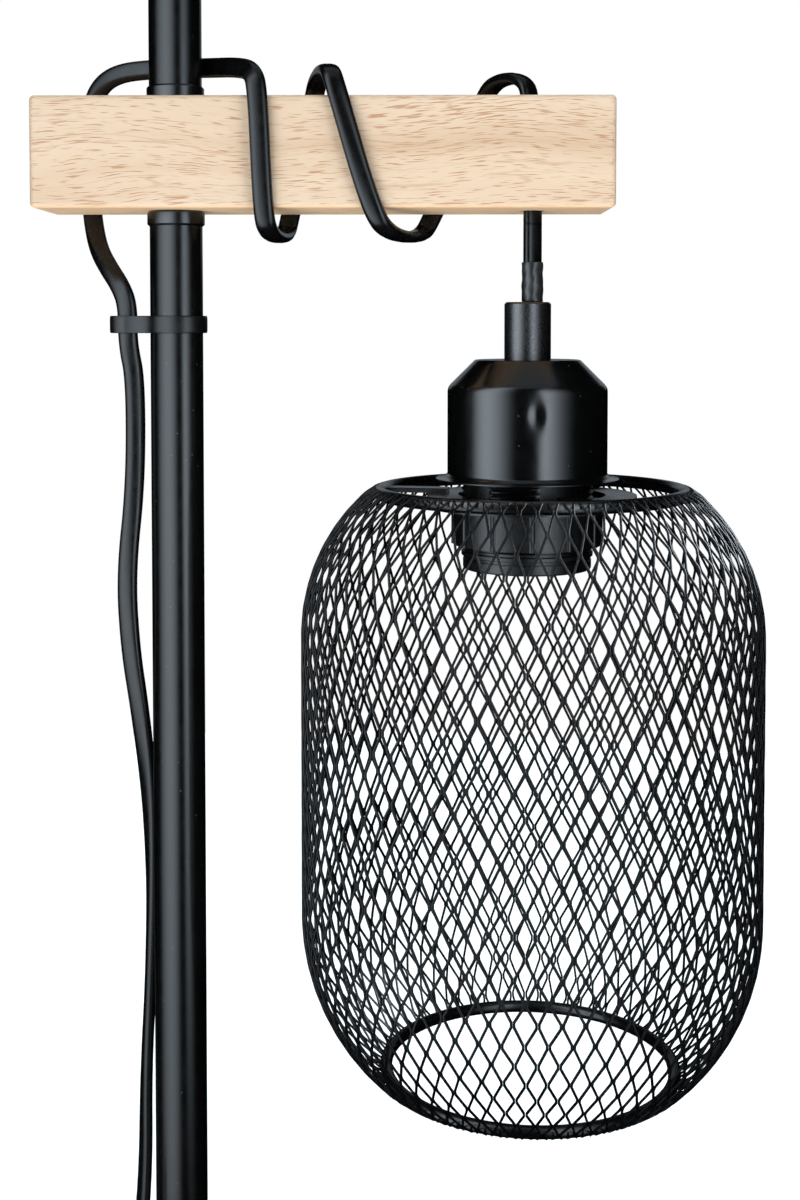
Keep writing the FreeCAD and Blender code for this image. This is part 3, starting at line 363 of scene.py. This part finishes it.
def piece(name, verts, faces, slot, finish=None, sharp=40.0):
    """A smooth-shaded mesh piece from points in millimetres, with edges where it turns by the sharp angle."""
    mesh = bpy.data.meshes.new(name)
    mesh.from_pydata([tuple(point) for point in np.asarray(verts) * MM], [], faces)
    mesh.shade_smooth()
    mesh.set_sharp_from_angle(angle=math.radians(sharp))
    mesh.materials.append(finish or FINISHES[slot])
    made = bpy.data.objects.new(name, mesh)
    bpy.context.scene.collection.objects.link(made)
    return made


def rounded(corners, steps=5, most_of_side=0.49):
    """A closed outline through (radius, height, fillet) corners, each fillet an arc of a few steps.

    A fillet takes up no more of a side than the given share.
    """
    outline = []
    for index, (radius, height, fillet) in enumerate(corners):
        here = Vector((radius, height))
        back = Vector(corners[index - 1][:2]) - here
        ahead = Vector(corners[(index + 1) % len(corners)][:2]) - here
        if fillet == 0:
            outline.append(here)
            continue
        half = back.angle(ahead) / 2
        reach = min(fillet / math.tan(half), back.length * most_of_side, ahead.length * most_of_side)
        inside = (back.normalized() + ahead.normalized()).normalized()
        centre = here + inside * (reach / math.cos(half))
        first = here + back.normalized() * reach - centre
        last = here + ahead.normalized() * reach - centre
        turn = first.angle_signed(last)
        for step in range(steps + 1):
            angle = turn * step / steps
            swing = Vector((first.x * math.cos(angle) + first.y * math.sin(angle),
                            first.y * math.cos(angle) - first.x * math.sin(angle)))
            outline.append(centre + swing)
    return outline


def split(outline, longest):
    """The outline with its long runs cut into steps, so that a dent or a thread has points to move."""
    points = []
    for index, here in enumerate(outline):
        ahead = outline[(index + 1) % len(outline)]
        count = max(1, math.ceil((ahead - here).length / longest))
        points += [here.lerp(ahead, step / count) for step in range(count)]
    return points


def lathe(name, axis_x, outline, slot, change, around, finish=None):
    """The closed outline turned about an upright axis. change gives the radius at (radius, height, angle)."""
    verts = []
    faces = []
    count = len(outline)
    for turn in range(around):
        angle = math.tau * turn / around
        for radius, height in outline:
            reach = change(radius, height, angle)
            verts.append((axis_x + reach * math.cos(angle), reach * math.sin(angle), height))
        for index in range(count):
            here, ahead = turn * count, (turn + 1) % around * count
            after = (index + 1) % count
            faces.append((here + index, ahead + index, ahead + after, here + after))
    return piece(name, verts, faces, slot, finish)


def flat_section(width, thick, count=16, power=2.7):
    """A rounded flat outline: pairs of offsets across the width and through the thickness.

    A higher power makes its corners squarer.
    """
    offsets = []
    for index in range(count):
        angle = math.tau * (index + 0.5) / count
        across, through = math.cos(angle), math.sin(angle)
        offsets.append((math.copysign(abs(across) ** (2 / power), across) * width / 2,
                        math.copysign(abs(through) ** (2 / power), through) * thick / 2))
    return offsets


def sweep(line, facings, section, closed=False, scale=1.0):
    """Points and faces of a section carried along a line, its thickness along the facings.

    The scale of the section is one number, or one for each point of the line.
    """
    line = np.asarray(line, float)
    if closed:
        along = np.roll(line, -1, axis=0) - np.roll(line, 1, axis=0)
    else:
        along = np.gradient(line, axis=0)
    along /= np.linalg.norm(along, axis=1)[:, None]
    face = np.asarray(facings, float)
    face = face - along * np.sum(face * along, axis=1)[:, None]
    face /= np.linalg.norm(face, axis=1)[:, None]
    side = np.cross(along, face)
    section = np.asarray(section, float) * np.broadcast_to(scale, len(line))[:, None, None]
    verts = line[:, None] + side[:, None] * section[:, :, :1] + face[:, None] * section[:, :, 1:]
    rows, around = section.shape[:2]
    faces = []
    for row in range(rows if closed else rows - 1):
        here, ahead = row * around, (row + 1) % rows * around
        for index in range(around):
            after = (index + 1) % around
            faces.append((here + index, ahead + index, ahead + after, here + after))
    if not closed:
        faces.append(tuple(range(around)))
        faces.append(tuple(range((rows - 1) * around, rows * around))[::-1])
    return verts.reshape(-1, 3), faces


# The cord: one flat two-core lead from the arm's hole, round the arm, down the post, through the
# switch, into a coil and on to the plug


CORD_WIDE = 6.0
CORD_THICK = 3.6
# Points read from the spline for each of its control points
CORD_STEPS = 8
ARM_MIDDLE_Z = 383.5
ARM_HALF_DEPTH = 17.5
ARM_HALF_HEIGHT = 16.5

HOLE_ROUTE = [(108.5, 0.0, 370.7), (108.5, 0.0, 401.5)]
HOLE_FACING = (0.6, -0.8, 0.0)

LOOP_ROUTE = [
    (105.0, 4.5, 408.2), (97.5, 14.5, 408.2), (94.0, 20.0, 402.5), (78.4, 20.0, 366.6),
    (74.5, 14.5, 359.4), (65.0, -13.5, 359.2), (60.0, -20.0, 366.0), (49.6, -20.0, 402.0),
    (47.4, -14.5, 408.8), (42.6, 13.5, 409.2), (40.6, 20.0, 402.5), (33.4, 20.0, 366.5),
    (32.0, 14.0, 359.2), (29.4, -14.0, 359.2), (28.2, -20.0, 365.5),
]

POST_ROUTE = [
    (26.8, -20.0, 401.0), (25.0, -16.5, 407.0), (19.5, -5.0, 409.8), (9.0, 9.0, 411.6),
    (-9.0, 13.8, 412.0), (-21.0, 15.5, 410.8), (-27.6, 18.6, 405.8), (-29.8, 20.7, 397.0),
    (-29.8, 20.7, 373.0), (-28.4, 17.4, 363.5), (-25.6, 11.2, 355.5), (-21.4, 5.4, 349.5),
    (-17.6, 1.6, 344.6), (-15.0, 0.0, 338.8), (-15.0, 0.0, 326.4), (-12.8, 0.3, 316.0),
    (-13.0, 0.4, 284.0), (-16.2, 0.5, 256.0), (-15.1, 0.8, 233.0),
]

DROP_ROUTE = [
    (-12.6, 2.4, 214.0), (-10.2, 4.6, 190.0), (-9.4, 5.8, 160.0), (-10.1, 5.2, 128.0),
    (-11.5, 3.2, 98.0), (-11.5, 1.6, 70.0), (-13.2, 0.2, 46.0),
]

# How far the flat cord has turned from facing the front to facing left, in degrees, at the last points
# of the post's route and at those of the drop
POST_TURNS = (-10, -18, -15, -2, 8)
DROP_TURNS = (15, 40, 70, 80, 70, 60, 58)

FLOOR_ROUTE = [
    (-19.0, -1.8, 28.0), (-31.0, -6.5, 16.0), (-47.0, -14.5, 12.6), (-64.0, -25.0, 12.4),
    (-80.0, -36.0, 13.0), (-90.5, -43.6, 11.2), (-98.0, -48.2, 8.8), (-104.2, -50.0, 7.5),
    (-175.8, -50.0, 7.5), (-183.5, -49.2, 6.6),
]
# Facings at the first points of the floor's route, where the cord turns to lie flat
LANDING_FACINGS = [(-0.8, -0.5, 0.33), (-0.5, 0.0, 0.87)]

TAIL_ROUTE = [
    (-192.5, -46.0, 4.9), (-199.5, -39.5, 3.9), (-203.5, -28.0, 3.9), (-203.0, -14.0, 3.9),
    (-199.0, -1.0, 3.9), (-196.6, 8.0, 3.9),
]
# Points of the tail over which the cord turns on edge for the coil
TAIL_TURNING = 3

END_ROUTE = [
    (-196.0, 34.4, 9.5), (-196.8, 40.0, 9.0), (-198.0, 54.0, 7.6), (-195.0, 68.0, 6.9),
    (-186.0, 77.6, 6.8), (-175.4, 81.4, 6.9), (-166.8, 82.0, 6.9), (-161.0, 82.0, 6.9),
]

COIL_CENTRE = (-155.0, 20.0)
COIL_ACROSS = 82.0
COIL_PITCH = 6.2
COIL_HALF_TURNS = 6
COIL_LOW, COIL_HIGH = 3.5, 9.5
COIL_POINTS = 8


def coil_route():
    """Control points of the coil: a spiral in, a half turn that climbs a layer, and a spiral out."""
    widths = [COIL_ACROSS - COIL_PITCH * (turn + 0.5) for turn in range(COIL_HALF_TURNS + 1)]
    widths += widths[-2:0:-1]
    outset = 1 / math.cos(math.pi / COIL_POINTS / 2)
    here, side = COIL_CENTRE[0] - COIL_ACROSS / 2, 1
    points = []
    for turn, width in enumerate(widths):
        middle = here + side * width / 2
        for step in range(COIL_POINTS):
            share = (step + 0.5) / COIL_POINTS
            angle = math.pi * share
            climb = min(1.0, max(0.0, turn + share - COIL_HALF_TURNS))
            reach = side * width / 2 * outset
            points.append((middle - reach * math.cos(angle), COIL_CENTRE[1] + reach * math.sin(angle),
                           COIL_LOW + (COIL_HIGH - COIL_LOW) * climb))
        here += side * width
        side = -side
    return points


def away_from_arm(point):
    """Facing of a cord that lies on the arm: square to the side it is nearest."""
    return (0.0, (point[1] / ARM_HALF_DEPTH) ** 3, ((point[2] - ARM_MIDDLE_Z) / ARM_HALF_HEIGHT) ** 3)


def away_from_coil(point):
    """Facing of a cord that stands on edge in the coil: out from the coil's centre."""
    return (point[0] - COIL_CENTRE[0], point[1] - COIL_CENTRE[1], 0.0)


def turning(points, first, last):
    """Facings that turn from one direction to another over the points."""
    steps = np.linspace(0, 1, len(points))
    return [tuple(Vector(first).lerp(Vector(last), step).normalized()) for step in steps]


def spline_points(name, points):
    """Points read along the NURBS spline that has the given control points."""
    curve = bpy.data.curves.new(name, "CURVE")
    curve.dimensions = "3D"
    spline = curve.splines.new("NURBS")
    spline.points.add(len(points) - 1)
    for control, point in zip(spline.points, points):
        control.co = (*point, 1.0)
    spline.order_u = 3
    spline.use_endpoint_u = True
    spline.resolution_u = CORD_STEPS
    holder = bpy.data.objects.new(name, curve)
    mesh = bpy.data.meshes.new_from_object(holder)
    line = np.array([vertex.co for vertex in mesh.vertices])
    bpy.data.objects.remove(holder)
    bpy.data.curves.remove(curve)
    bpy.data.meshes.remove(mesh)
    return line


def make_lead():
    """The whole lead: its facings follow a spline of their own, point by point with its route."""
    coil = coil_route()
    route = [*HOLE_ROUTE, *LOOP_ROUTE, *POST_ROUTE, *DROP_ROUTE, *FLOOR_ROUTE, *TAIL_ROUTE, *coil, *END_ROUTE]
    facings = [HOLE_FACING] * len(HOLE_ROUTE)
    facings += [Vector(away_from_arm(point)).normalized() for point in LOOP_ROUTE]
    facings += [FRONT] * (len(POST_ROUTE) - len(POST_TURNS))
    facings += [(-math.sin(turn), -math.cos(turn), 0.0) for turn in np.radians(POST_TURNS + DROP_TURNS)]
    facings += LANDING_FACINGS + [UP] * (len(FLOOR_ROUTE) - len(LANDING_FACINGS))
    facings += turning(TAIL_ROUTE[:TAIL_TURNING], UP, LEFT) + [LEFT] * (len(TAIL_ROUTE) - TAIL_TURNING)
    facings += [Vector(away_from_coil(point)).normalized() for point in coil]
    facings += turning(END_ROUTE, LEFT, UP)
    line = spline_points("lead_line", route)
    verts, faces = sweep(line, spline_points("lead_facing", facings), flat_section(CORD_WIDE, CORD_THICK))
    lead = piece("lead", verts, faces, "cord_sheath")
    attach(lead, "stand")
    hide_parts("cord_winding", "cord_drop", "cord_tail", "cord_coil", "cord_end")


PENDANT_FACING = (0.5, -0.866, 0.0)
# Heights of the two lengths of hanging cord, which overlap a little between the hinges
HANGING_TOP = (372.5, 362.8)
HANGING_END = (363.4, 330.0)
HANGING_ROWS = 16


def hanging_stretch(name, top, bottom):
    """A straight run of the flat cord on the shade's axis, with rows of points enough to bend."""
    heights = np.linspace(top, bottom, HANGING_ROWS)
    line = [(SHADE_X, 0.0, height) for height in heights]
    verts, faces = sweep(line, [PENDANT_FACING] * len(line), flat_section(CORD_WIDE, CORD_THICK))
    return piece(name, verts, faces, "cord_sheath")


def make_hanging_cord():
    """The short stretch under the arm, in two lengths split at the two hinges."""
    upper = hanging_stretch("hanging_cord_top", *HANGING_TOP)
    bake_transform(upper)
    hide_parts("pendant_link")
    lower = hanging_stretch("hanging_cord_end", *HANGING_END)
    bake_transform(lower)
    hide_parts("pendant_cord")


make_lead()
make_hanging_cord()


# The cable tie


TIE_Z = 332.6
TIE_TALL = 5.3
TIE_THICK = 1.15
TIE_POST_R = 8.2
TIE_POST_ARC = 142
TIE_POST_STEPS = 41
TIE_BRIDGE = [(-9.0, 4.25), (-11.5, 3.75)]
TIE_CORD_X = -15.4
TIE_CORD_REACH = (4.45, 3.75)
TIE_CORD_ARC = 75
TIE_CORD_STEPS = 21
# The head's rows behind the post, and how far it narrows at its ends
TIE_HEAD_WIDE, TIE_HEAD_TALL = 6.0, 5.0
TIE_HEAD_DEPTHS = (8.9, 9.3, 12.2, 12.7)
TIE_HEAD_TAPER = (0.92, 1.0, 1.0, 0.9)


def tie_loop():
    """The band's middle line: round the post, drawn in between post and cord, and round the cord."""
    post_r = TIE_POST_R + TIE_THICK / 2
    across, deep = TIE_CORD_REACH
    post_turns = np.radians(np.linspace(-TIE_POST_ARC, TIE_POST_ARC, TIE_POST_STEPS))
    cord_turns = np.radians(np.linspace(TIE_CORD_ARC, 360 - TIE_CORD_ARC, TIE_CORD_STEPS))
    loop = [(post_r * math.cos(turn), post_r * math.sin(turn)) for turn in post_turns]
    loop += TIE_BRIDGE
    loop += [(TIE_CORD_X + across * math.cos(turn), deep * math.sin(turn)) for turn in cord_turns]
    loop += [(x, -y) for x, y in reversed(TIE_BRIDGE)]
    return [(x, y, TIE_Z) for x, y in loop]


def make_tie():
    loop = np.array(tie_loop())
    ahead = np.roll(loop, -1, axis=0) - np.roll(loop, 1, axis=0)
    outward = np.column_stack([ahead[:, 1], -ahead[:, 0], np.zeros(len(loop))])
    band_section = flat_section(TIE_TALL, TIE_THICK, count=20, power=5.0)
    band, band_faces = sweep(loop, outward, band_section, closed=True)
    head_line = [(0.0, depth, TIE_Z) for depth in TIE_HEAD_DEPTHS]
    head_section = flat_section(TIE_HEAD_WIDE, TIE_HEAD_TALL, count=24, power=6.0)
    head, head_faces = sweep(head_line, [UP] * len(head_line), head_section, scale=TIE_HEAD_TAPER)
    faces = band_faces + [tuple(index + len(band) for index in face) for face in head_faces]
    tie = piece("tie", np.vstack([band, head]), faces, "tie_nylon")
    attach(tie, "stand")
    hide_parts("cable_tie")


make_tie()


# The lampholder


CUP_WALL_R = 24.4
CUP_OUTLINE = [
    (27.4, 285.3, 0.2), (28.0, 285.3, 0.2), (28.0, 285.8, 0.2), (25.4, 286.2, 0.5),
    (CUP_WALL_R, 287.2, 0.6), (CUP_WALL_R, 313.5, 3.2), (16.0, 321.9, 1.3), (5.2, 321.9, 0.3),
    (5.2, 320.9, 0), (15.6, 320.9, 0.6), (23.4, 313.1, 2.2), (23.4, 286.6, 0.6),
]
# The dent's place across the cup's front and up it, and its size
CUP_DENT_X, CUP_DENT_Z = 1.0, 306.0
CUP_DENT_WIDE, CUP_DENT_TALL, CUP_DENT_DEEP = 2.2, 3.4, 0.55
# How far inside the wall's radius a point on it may lie
CUP_WALL_NEAR = 0.1
# The sine of the angle is below this on the cup's front
CUP_FRONT_SINE = -0.9


def dented(radius, height, angle):
    """A small dent on the front of the cup's wall."""
    if radius < CUP_WALL_R - CUP_WALL_NEAR or math.sin(angle) > CUP_FRONT_SINE:
        return radius
    across = radius * math.cos(angle) - CUP_DENT_X
    up = height - CUP_DENT_Z
    near = math.exp(-(across / CUP_DENT_WIDE) ** 2 - (up / CUP_DENT_TALL) ** 2)
    return radius - CUP_DENT_DEEP * near


def make_cup():
    outline = split(rounded(CUP_OUTLINE), longest=1.4)
    cup = lathe("cup", HOLDER_X, outline, "powder_coat", dented, around=224, finish=CUP_COAT)
    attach(cup, "pendant")
    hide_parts("lamp_cup")


BARREL_OUTLINE = [
    (15.0, 258.1, 0.4), (19.6, 258.1, 0.7), (19.6, 261.3, 0.35), (19.1, 261.3, 0), (19.1, 262.2, 0),
    (20.1, 262.2, 0.3), (20.1, 263.6, 0.3), (19.1, 263.6, 0), (19.1, 264.5, 0), (20.1, 264.5, 0.2),
    (20.1, 300.9, 0.3), (18.8, 300.9, 0), (18.8, 304.9, 0.3), (15.0, 304.9, 0.3),
]
THREAD_BOTTOM, THREAD_TOP, THREAD_PITCH, THREAD_DEEP = 264.7, 303.0, 1.7, 0.6
# Points further out than this are on the thread
THREAD_INNER_R = 19.9
# The thread runs over this share of each sector, from the first sector's start
THREAD_SECTORS = 4
THREAD_START = math.radians(-127)
THREAD_SHARE = 0.47


def threaded(radius, height, angle):
    """The barrel's interrupted thread: rounded ridges that stop at plain strips."""
    if radius < THREAD_INNER_R or not THREAD_BOTTOM < height < THREAD_TOP:
        return radius
    ridge = 0.5 + 0.5 * math.cos(math.tau * (height - THREAD_BOTTOM) / THREAD_PITCH - angle)
    plain = (angle - THREAD_START) / math.tau * THREAD_SECTORS % 1 > THREAD_SHARE
    return radius - THREAD_DEEP * (1 if plain else 1 - ridge)


def make_barrel():
    outline = split(rounded(BARREL_OUTLINE), longest=0.34)
    barrel = lathe("barrel", HOLDER_X, outline, "holder_plastic", threaded, around=180)
    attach(barrel, "pendant")
    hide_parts("holder_barrel")


SHRINK_OUTLINE = [(2.95, 339.5, 0), (3.3, 339.5, 0.15), (3.2, 351.5, 0.2), (2.95, 351.5, 0.1)]
# Waves of the film: how deep, how many round it, and how far they twist with the height
SHRINK_WAVES = [(0.07, 2, 0.9), (0.05, 5, -1.7)]


def shrunk(radius, height, angle):
    """Heat-shrink film: small dents where it has drawn in on the flat cord."""
    waves = [deep * math.sin(count * angle + height * twist) for deep, count, twist in SHRINK_WAVES]
    return radius + sum(waves)


def make_shrink():
    outline = split(rounded(SHRINK_OUTLINE), longest=0.7)
    shrink = lathe("shrink_tube", SHADE_X, outline, "shrink_film", shrunk, around=48)
    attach(shrink, "pendant")
    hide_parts("heat_shrink_sleeve")


make_cup()
make_barrel()
make_shrink()


# The shade's expanded mesh: zigzag strands that run side by side for a short bond at every node


DIAMONDS = 67
MESH_TURN = math.radians(-86.9)
# Node rows counted down the front, and how far along the mesh's half section they lie
COUNTED_ROWS = (0, 1, 7, 17, 22, 29)
COUNTED_RUNS = (3.1, 10.3, 49.6, 114.3, 144.8, 189.8)
STRAND_WIDE = 0.84
STRAND_DEEP = 0.76
# The strands are drawn thinner towards the rings
STRAND_HEIGHTS = (102.0, 150.0, 235.0, 282.0)
STRAND_SCALES = (0.82, 1.0, 1.0, 0.8)
BOND_HALF = 0.7
BOND_OFFSET = 0.4
# How far a node lies off its place at most, and the seed for those shifts
NODE_SHIFT = 0.2
NODE_SEED = 11
# Arcs of the half section: radius and height of the middle, the arc's radius, degrees from level to its end
TOP_ARC = (12.65, 237.95, 57.65, 50.5)
BOTTOM_ARC = (4.64, 151.8, 65.66, 49.6)
ARC_STEPS = 40
# Rings: radius, height, radius of the wire
TOP_RING = (46.6, 281.45, 2.0)
BOTTOM_RING = (44.6, 102.75, 1.9)
# Where a strand's end lies on a ring: angle on the wire, height over it, share of the way to the next strand
END_LAY = [(20.0, 0.45, 0.5), (38.0, 0.1, 0.62), (54.0, -0.3, 0.68)]


def arc_points(arc, shares):
    """Radius, height and outward lean at shares of the way along an arc, below the level if negative."""
    middle_r, middle_z, arc_r, end = arc
    leans = [math.radians(end) * share for share in shares]
    return [(middle_r + arc_r * math.cos(lean), middle_z + arc_r * math.sin(lean), lean) for lean in leans]


def shade_profile():
    """The mesh's middle line from the top ring to the bottom ring: radius, height and outward lean."""
    shares = [step / ARC_STEPS for step in range(ARC_STEPS + 1)]
    top = arc_points(TOP_ARC, [1 - share for share in shares])
    bottom = arc_points(BOTTOM_ARC, [-share for share in shares])
    return np.array(top + bottom)


def strand_section():
    """Round on the outside of the shade and flat on the inside."""
    outer = flat_section(STRAND_WIDE, STRAND_DEEP, count=12, power=2.3)
    inner = flat_section(STRAND_WIDE, STRAND_DEEP, count=12, power=6.0)
    return [out if out[1] > 0 else flat for out, flat in zip(outer, inner)]


def strand_end(ring, over, angle, side):
    """A strand's last points, spread away from its neighbour and sunk into a ring: over is 1 at the top."""
    ring_r, ring_z, wire_r = ring
    points = []
    for lay, height, spread in END_LAY:
        lean = math.radians(lay) * over
        reach = wire_r + height
        points.append((ring_r + reach * math.cos(lean), ring_z + reach * math.sin(lean), lean,
                       angle + side * spread * math.pi / DIAMONDS))
    return points


def strand_path(strand, rows, run, profile, shift):
    """Radius, height, outward lean and angle along one zigzag strand."""
    path = []
    for row, place in enumerate(rows):
        odd = row % 2
        node = (strand + odd) // 2
        side = -1 if (strand + odd) % 2 == 0 else 1
        sideways, along = shift[row][node % DIAMONDS]
        middle = place + along * NODE_SHIFT
        offset = side * BOND_OFFSET + sideways * NODE_SHIFT
        straight = MESH_TURN + math.tau * (node - 0.5 * odd) / DIAMONDS
        for at in (middle - BOND_HALF, middle + BOND_HALF):
            radius, height, lean = (np.interp(at, run, profile[:, part]) for part in range(3))
            path.append((radius, height, lean, straight + offset / radius))
        if row == 0:
            path = strand_end(TOP_RING, 1, straight, side)[::-1] + path
    return np.array(path + strand_end(BOTTOM_RING, -1, straight, side))


def make_mesh():
    profile = shade_profile()
    steps = np.linalg.norm(np.diff(profile[:, :2], axis=0), axis=1)
    run = np.concatenate([[0], np.cumsum(steps)])
    rows = np.interp(range(COUNTED_ROWS[-1] + 1), COUNTED_ROWS, COUNTED_RUNS)
    draw = random.Random(NODE_SEED)
    shift = [[(draw.uniform(-1, 1), draw.uniform(-1, 1)) for _ in range(DIAMONDS)] for _ in rows]
    section = strand_section()
    verts, faces = [], []
    total = 0
    for strand in range(2 * DIAMONDS):
        radius, height, lean, angle = strand_path(strand, rows, run, profile, shift).T
        line = np.column_stack([SHADE_X + radius * np.cos(angle), radius * np.sin(angle), height])
        out = np.column_stack([np.cos(lean) * np.cos(angle), np.cos(lean) * np.sin(angle), np.sin(lean)])
        points, quads = sweep(line, out, section, scale=np.interp(height, STRAND_HEIGHTS, STRAND_SCALES))
        verts.append(points)
        faces += [tuple(index + total for index in quad) for quad in quads]
        total += len(points)
    mesh = piece("mesh", np.vstack(verts), faces, "powder_coat", MESH_COAT, sharp=50.0)
    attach(mesh, "pendant")
    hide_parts("shade_mesh")


make_mesh()


# Floor and light


def floor_finish():
    """A plain pale floor."""
    made = Finish("floor", Specular_IOR_Level=0.2)
    cloud = made.noise(evenly(3), detail=3)
    made.colour(made.tones(cloud, (0.90, 0.90, 0.90), (0.93, 0.93, 0.93)))
    made.roughness(made.varied(cloud, 0.6, 0.7))
    return made.material


FLOOR_X, FLOOR_Y, FLOOR_R = 0.0, 0.15, 0.7
FLOOR_SIDES = 96


def make_floor():
    """A round white floor, lit up to white at its rim, so that it runs into the white behind it.

    It hides no light: the boxes reach below it, as beside a table.
    """
    turns = [math.tau * side / FLOOR_SIDES for side in range(FLOOR_SIDES)]
    rim = [(FLOOR_X + FLOOR_R * math.cos(turn), FLOOR_Y + FLOOR_R * math.sin(turn), 0.0) for turn in turns]
    mesh = bpy.data.meshes.new("floor")
    mesh.from_pydata(rim, [], [tuple(range(FLOOR_SIDES))])
    mesh.materials.append(floor_finish())
    floor = bpy.data.objects.new("floor", mesh)
    floor.visible_glossy = False
    floor.visible_shadow = False
    bpy.context.scene.collection.objects.link(floor)


COOL = (0.80, 0.905, 1.0)
PALE = (0.87, 0.95, 1.0)


def hot_middle(data):
    """Makes an area light fade from its middle to its edges, as a softbox does."""
    middle = 0.5
    data.use_nodes = True
    tree = data.node_tree
    spot = tree.nodes.new("ShaderNodeNewGeometry").outputs["Parametric"]
    parts = tree.nodes.new("ShaderNodeSeparateXYZ")
    product = tree.nodes.new("ShaderNodeMath")
    product.operation = "MULTIPLY"
    tree.links.new(spot, parts.inputs[0])
    for index in range(2):
        from_edge = tree.nodes.new("ShaderNodeMath")
        from_edge.operation = "PINGPONG"
        from_edge.inputs[1].default_value = middle
        fade = tree.nodes.new("ShaderNodeMapRange")
        fade.interpolation_type = "SMOOTHSTEP"
        fade.inputs["From Max"].default_value = middle
        tree.links.new(parts.outputs[index], from_edge.inputs[0])
        tree.links.new(from_edge.outputs[0], fade.inputs["Value"])
        tree.links.new(fade.outputs[0], product.inputs[index])
    tree.links.new(product.outputs[0], tree.nodes["Emission"].inputs["Strength"])


def softbox(name, place, aim, size, radiance, colour=COOL, fading=False, diffuse=True, glossy=True):
    """An area light that the camera doesn't see, with the given radiance in its middle.

    Without diffuse it only shows as highlights, and without glossy it makes none.
    """
    wide, tall = size
    data = bpy.data.lights.new(name, "AREA")
    data.shape = "RECTANGLE"
    data.size = wide
    data.size_y = tall
    data.energy = radiance * math.pi * wide * tall
    data.color = colour
    if fading:
        hot_middle(data)
    lamp = bpy.data.objects.new(name, data)
    lamp.location = place
    lamp.rotation_euler = (Vector(aim) - Vector(place)).to_track_quat("-Z", "Y").to_euler()
    lamp.visible_camera = False
    lamp.visible_diffuse = diffuse
    lamp.visible_glossy = glossy
    bpy.context.scene.collection.objects.link(lamp)
    return lamp


def make_lights():
    """Near boxes and a strip shine on the black gloss, and dull ones light the wood and the floor.

    The high right box shines on the mesh alone.
    """
    softbox("left_box", (-0.063, -0.102, 0.305), (0.005, -0.029, 0.305), (0.285, 1.25), 5.8,
            fading=True, diffuse=False)
    softbox("right_box", (0.181, -0.199, 0.28), (0.082, -0.185, 0.28), (0.299, 0.79), 6.1, fading=True)
    softbox("top_box", (0.05, 0.0, 1.1), (0.05, 0.0, 0.0), (0.8, 0.8), 0.5)
    softbox("back_card", (0.05, 1.6, 0.6), (0.05, 0.0, 0.6), (2.4, 1.6), 0.75, glossy=False)
    softbox("back_strip", (0.2, 1.5, 0.66), (0.2, 0.0, 0.66), (1.6, 0.5), 0.4, diffuse=False)
    softbox("overhead", (0.0, 0.6, 2.2), (0.0, 0.6, 0.0), (3.0, 3.0), 3.9, PALE, glossy=False)
    high = softbox("high_right", (0.855, 0.33, 0.615), (0.125, -0.06, 0.265), (0.6, 0.4), 22.0, diffuse=False)
    lit = bpy.data.collections.new("lit_from_high_right")
    lit.objects.link(bpy.data.objects["mesh"])
    high.light_linking.receiver_collection = lit
    softbox("right_fill", (0.26, -0.22, 0.36), (0.13, -0.0175, 0.385), (0.2, 0.2), 2.7, PALE, glossy=False)
    softbox("low_front", (-0.30, -0.80, 0.02), (0.03, 0.0, 0.38), (0.7, 0.7), 10.3, PALE, glossy=False)


def make_world():
    """Plain white behind the lamp, which gives no light of its own."""
    world = bpy.data.worlds.new("studio")
    world.use_nodes = True
    world.node_tree.nodes["Background"].inputs["Color"].default_value = (1.0, 1.0, 1.0, 1.0)
    bpy.context.scene.world = world
    world.cycles_visibility.diffuse = False
    world.cycles_visibility.glossy = False


make_floor()
make_world()
make_lights()
bpy.context.scene.view_settings.view_transform = "Standard"
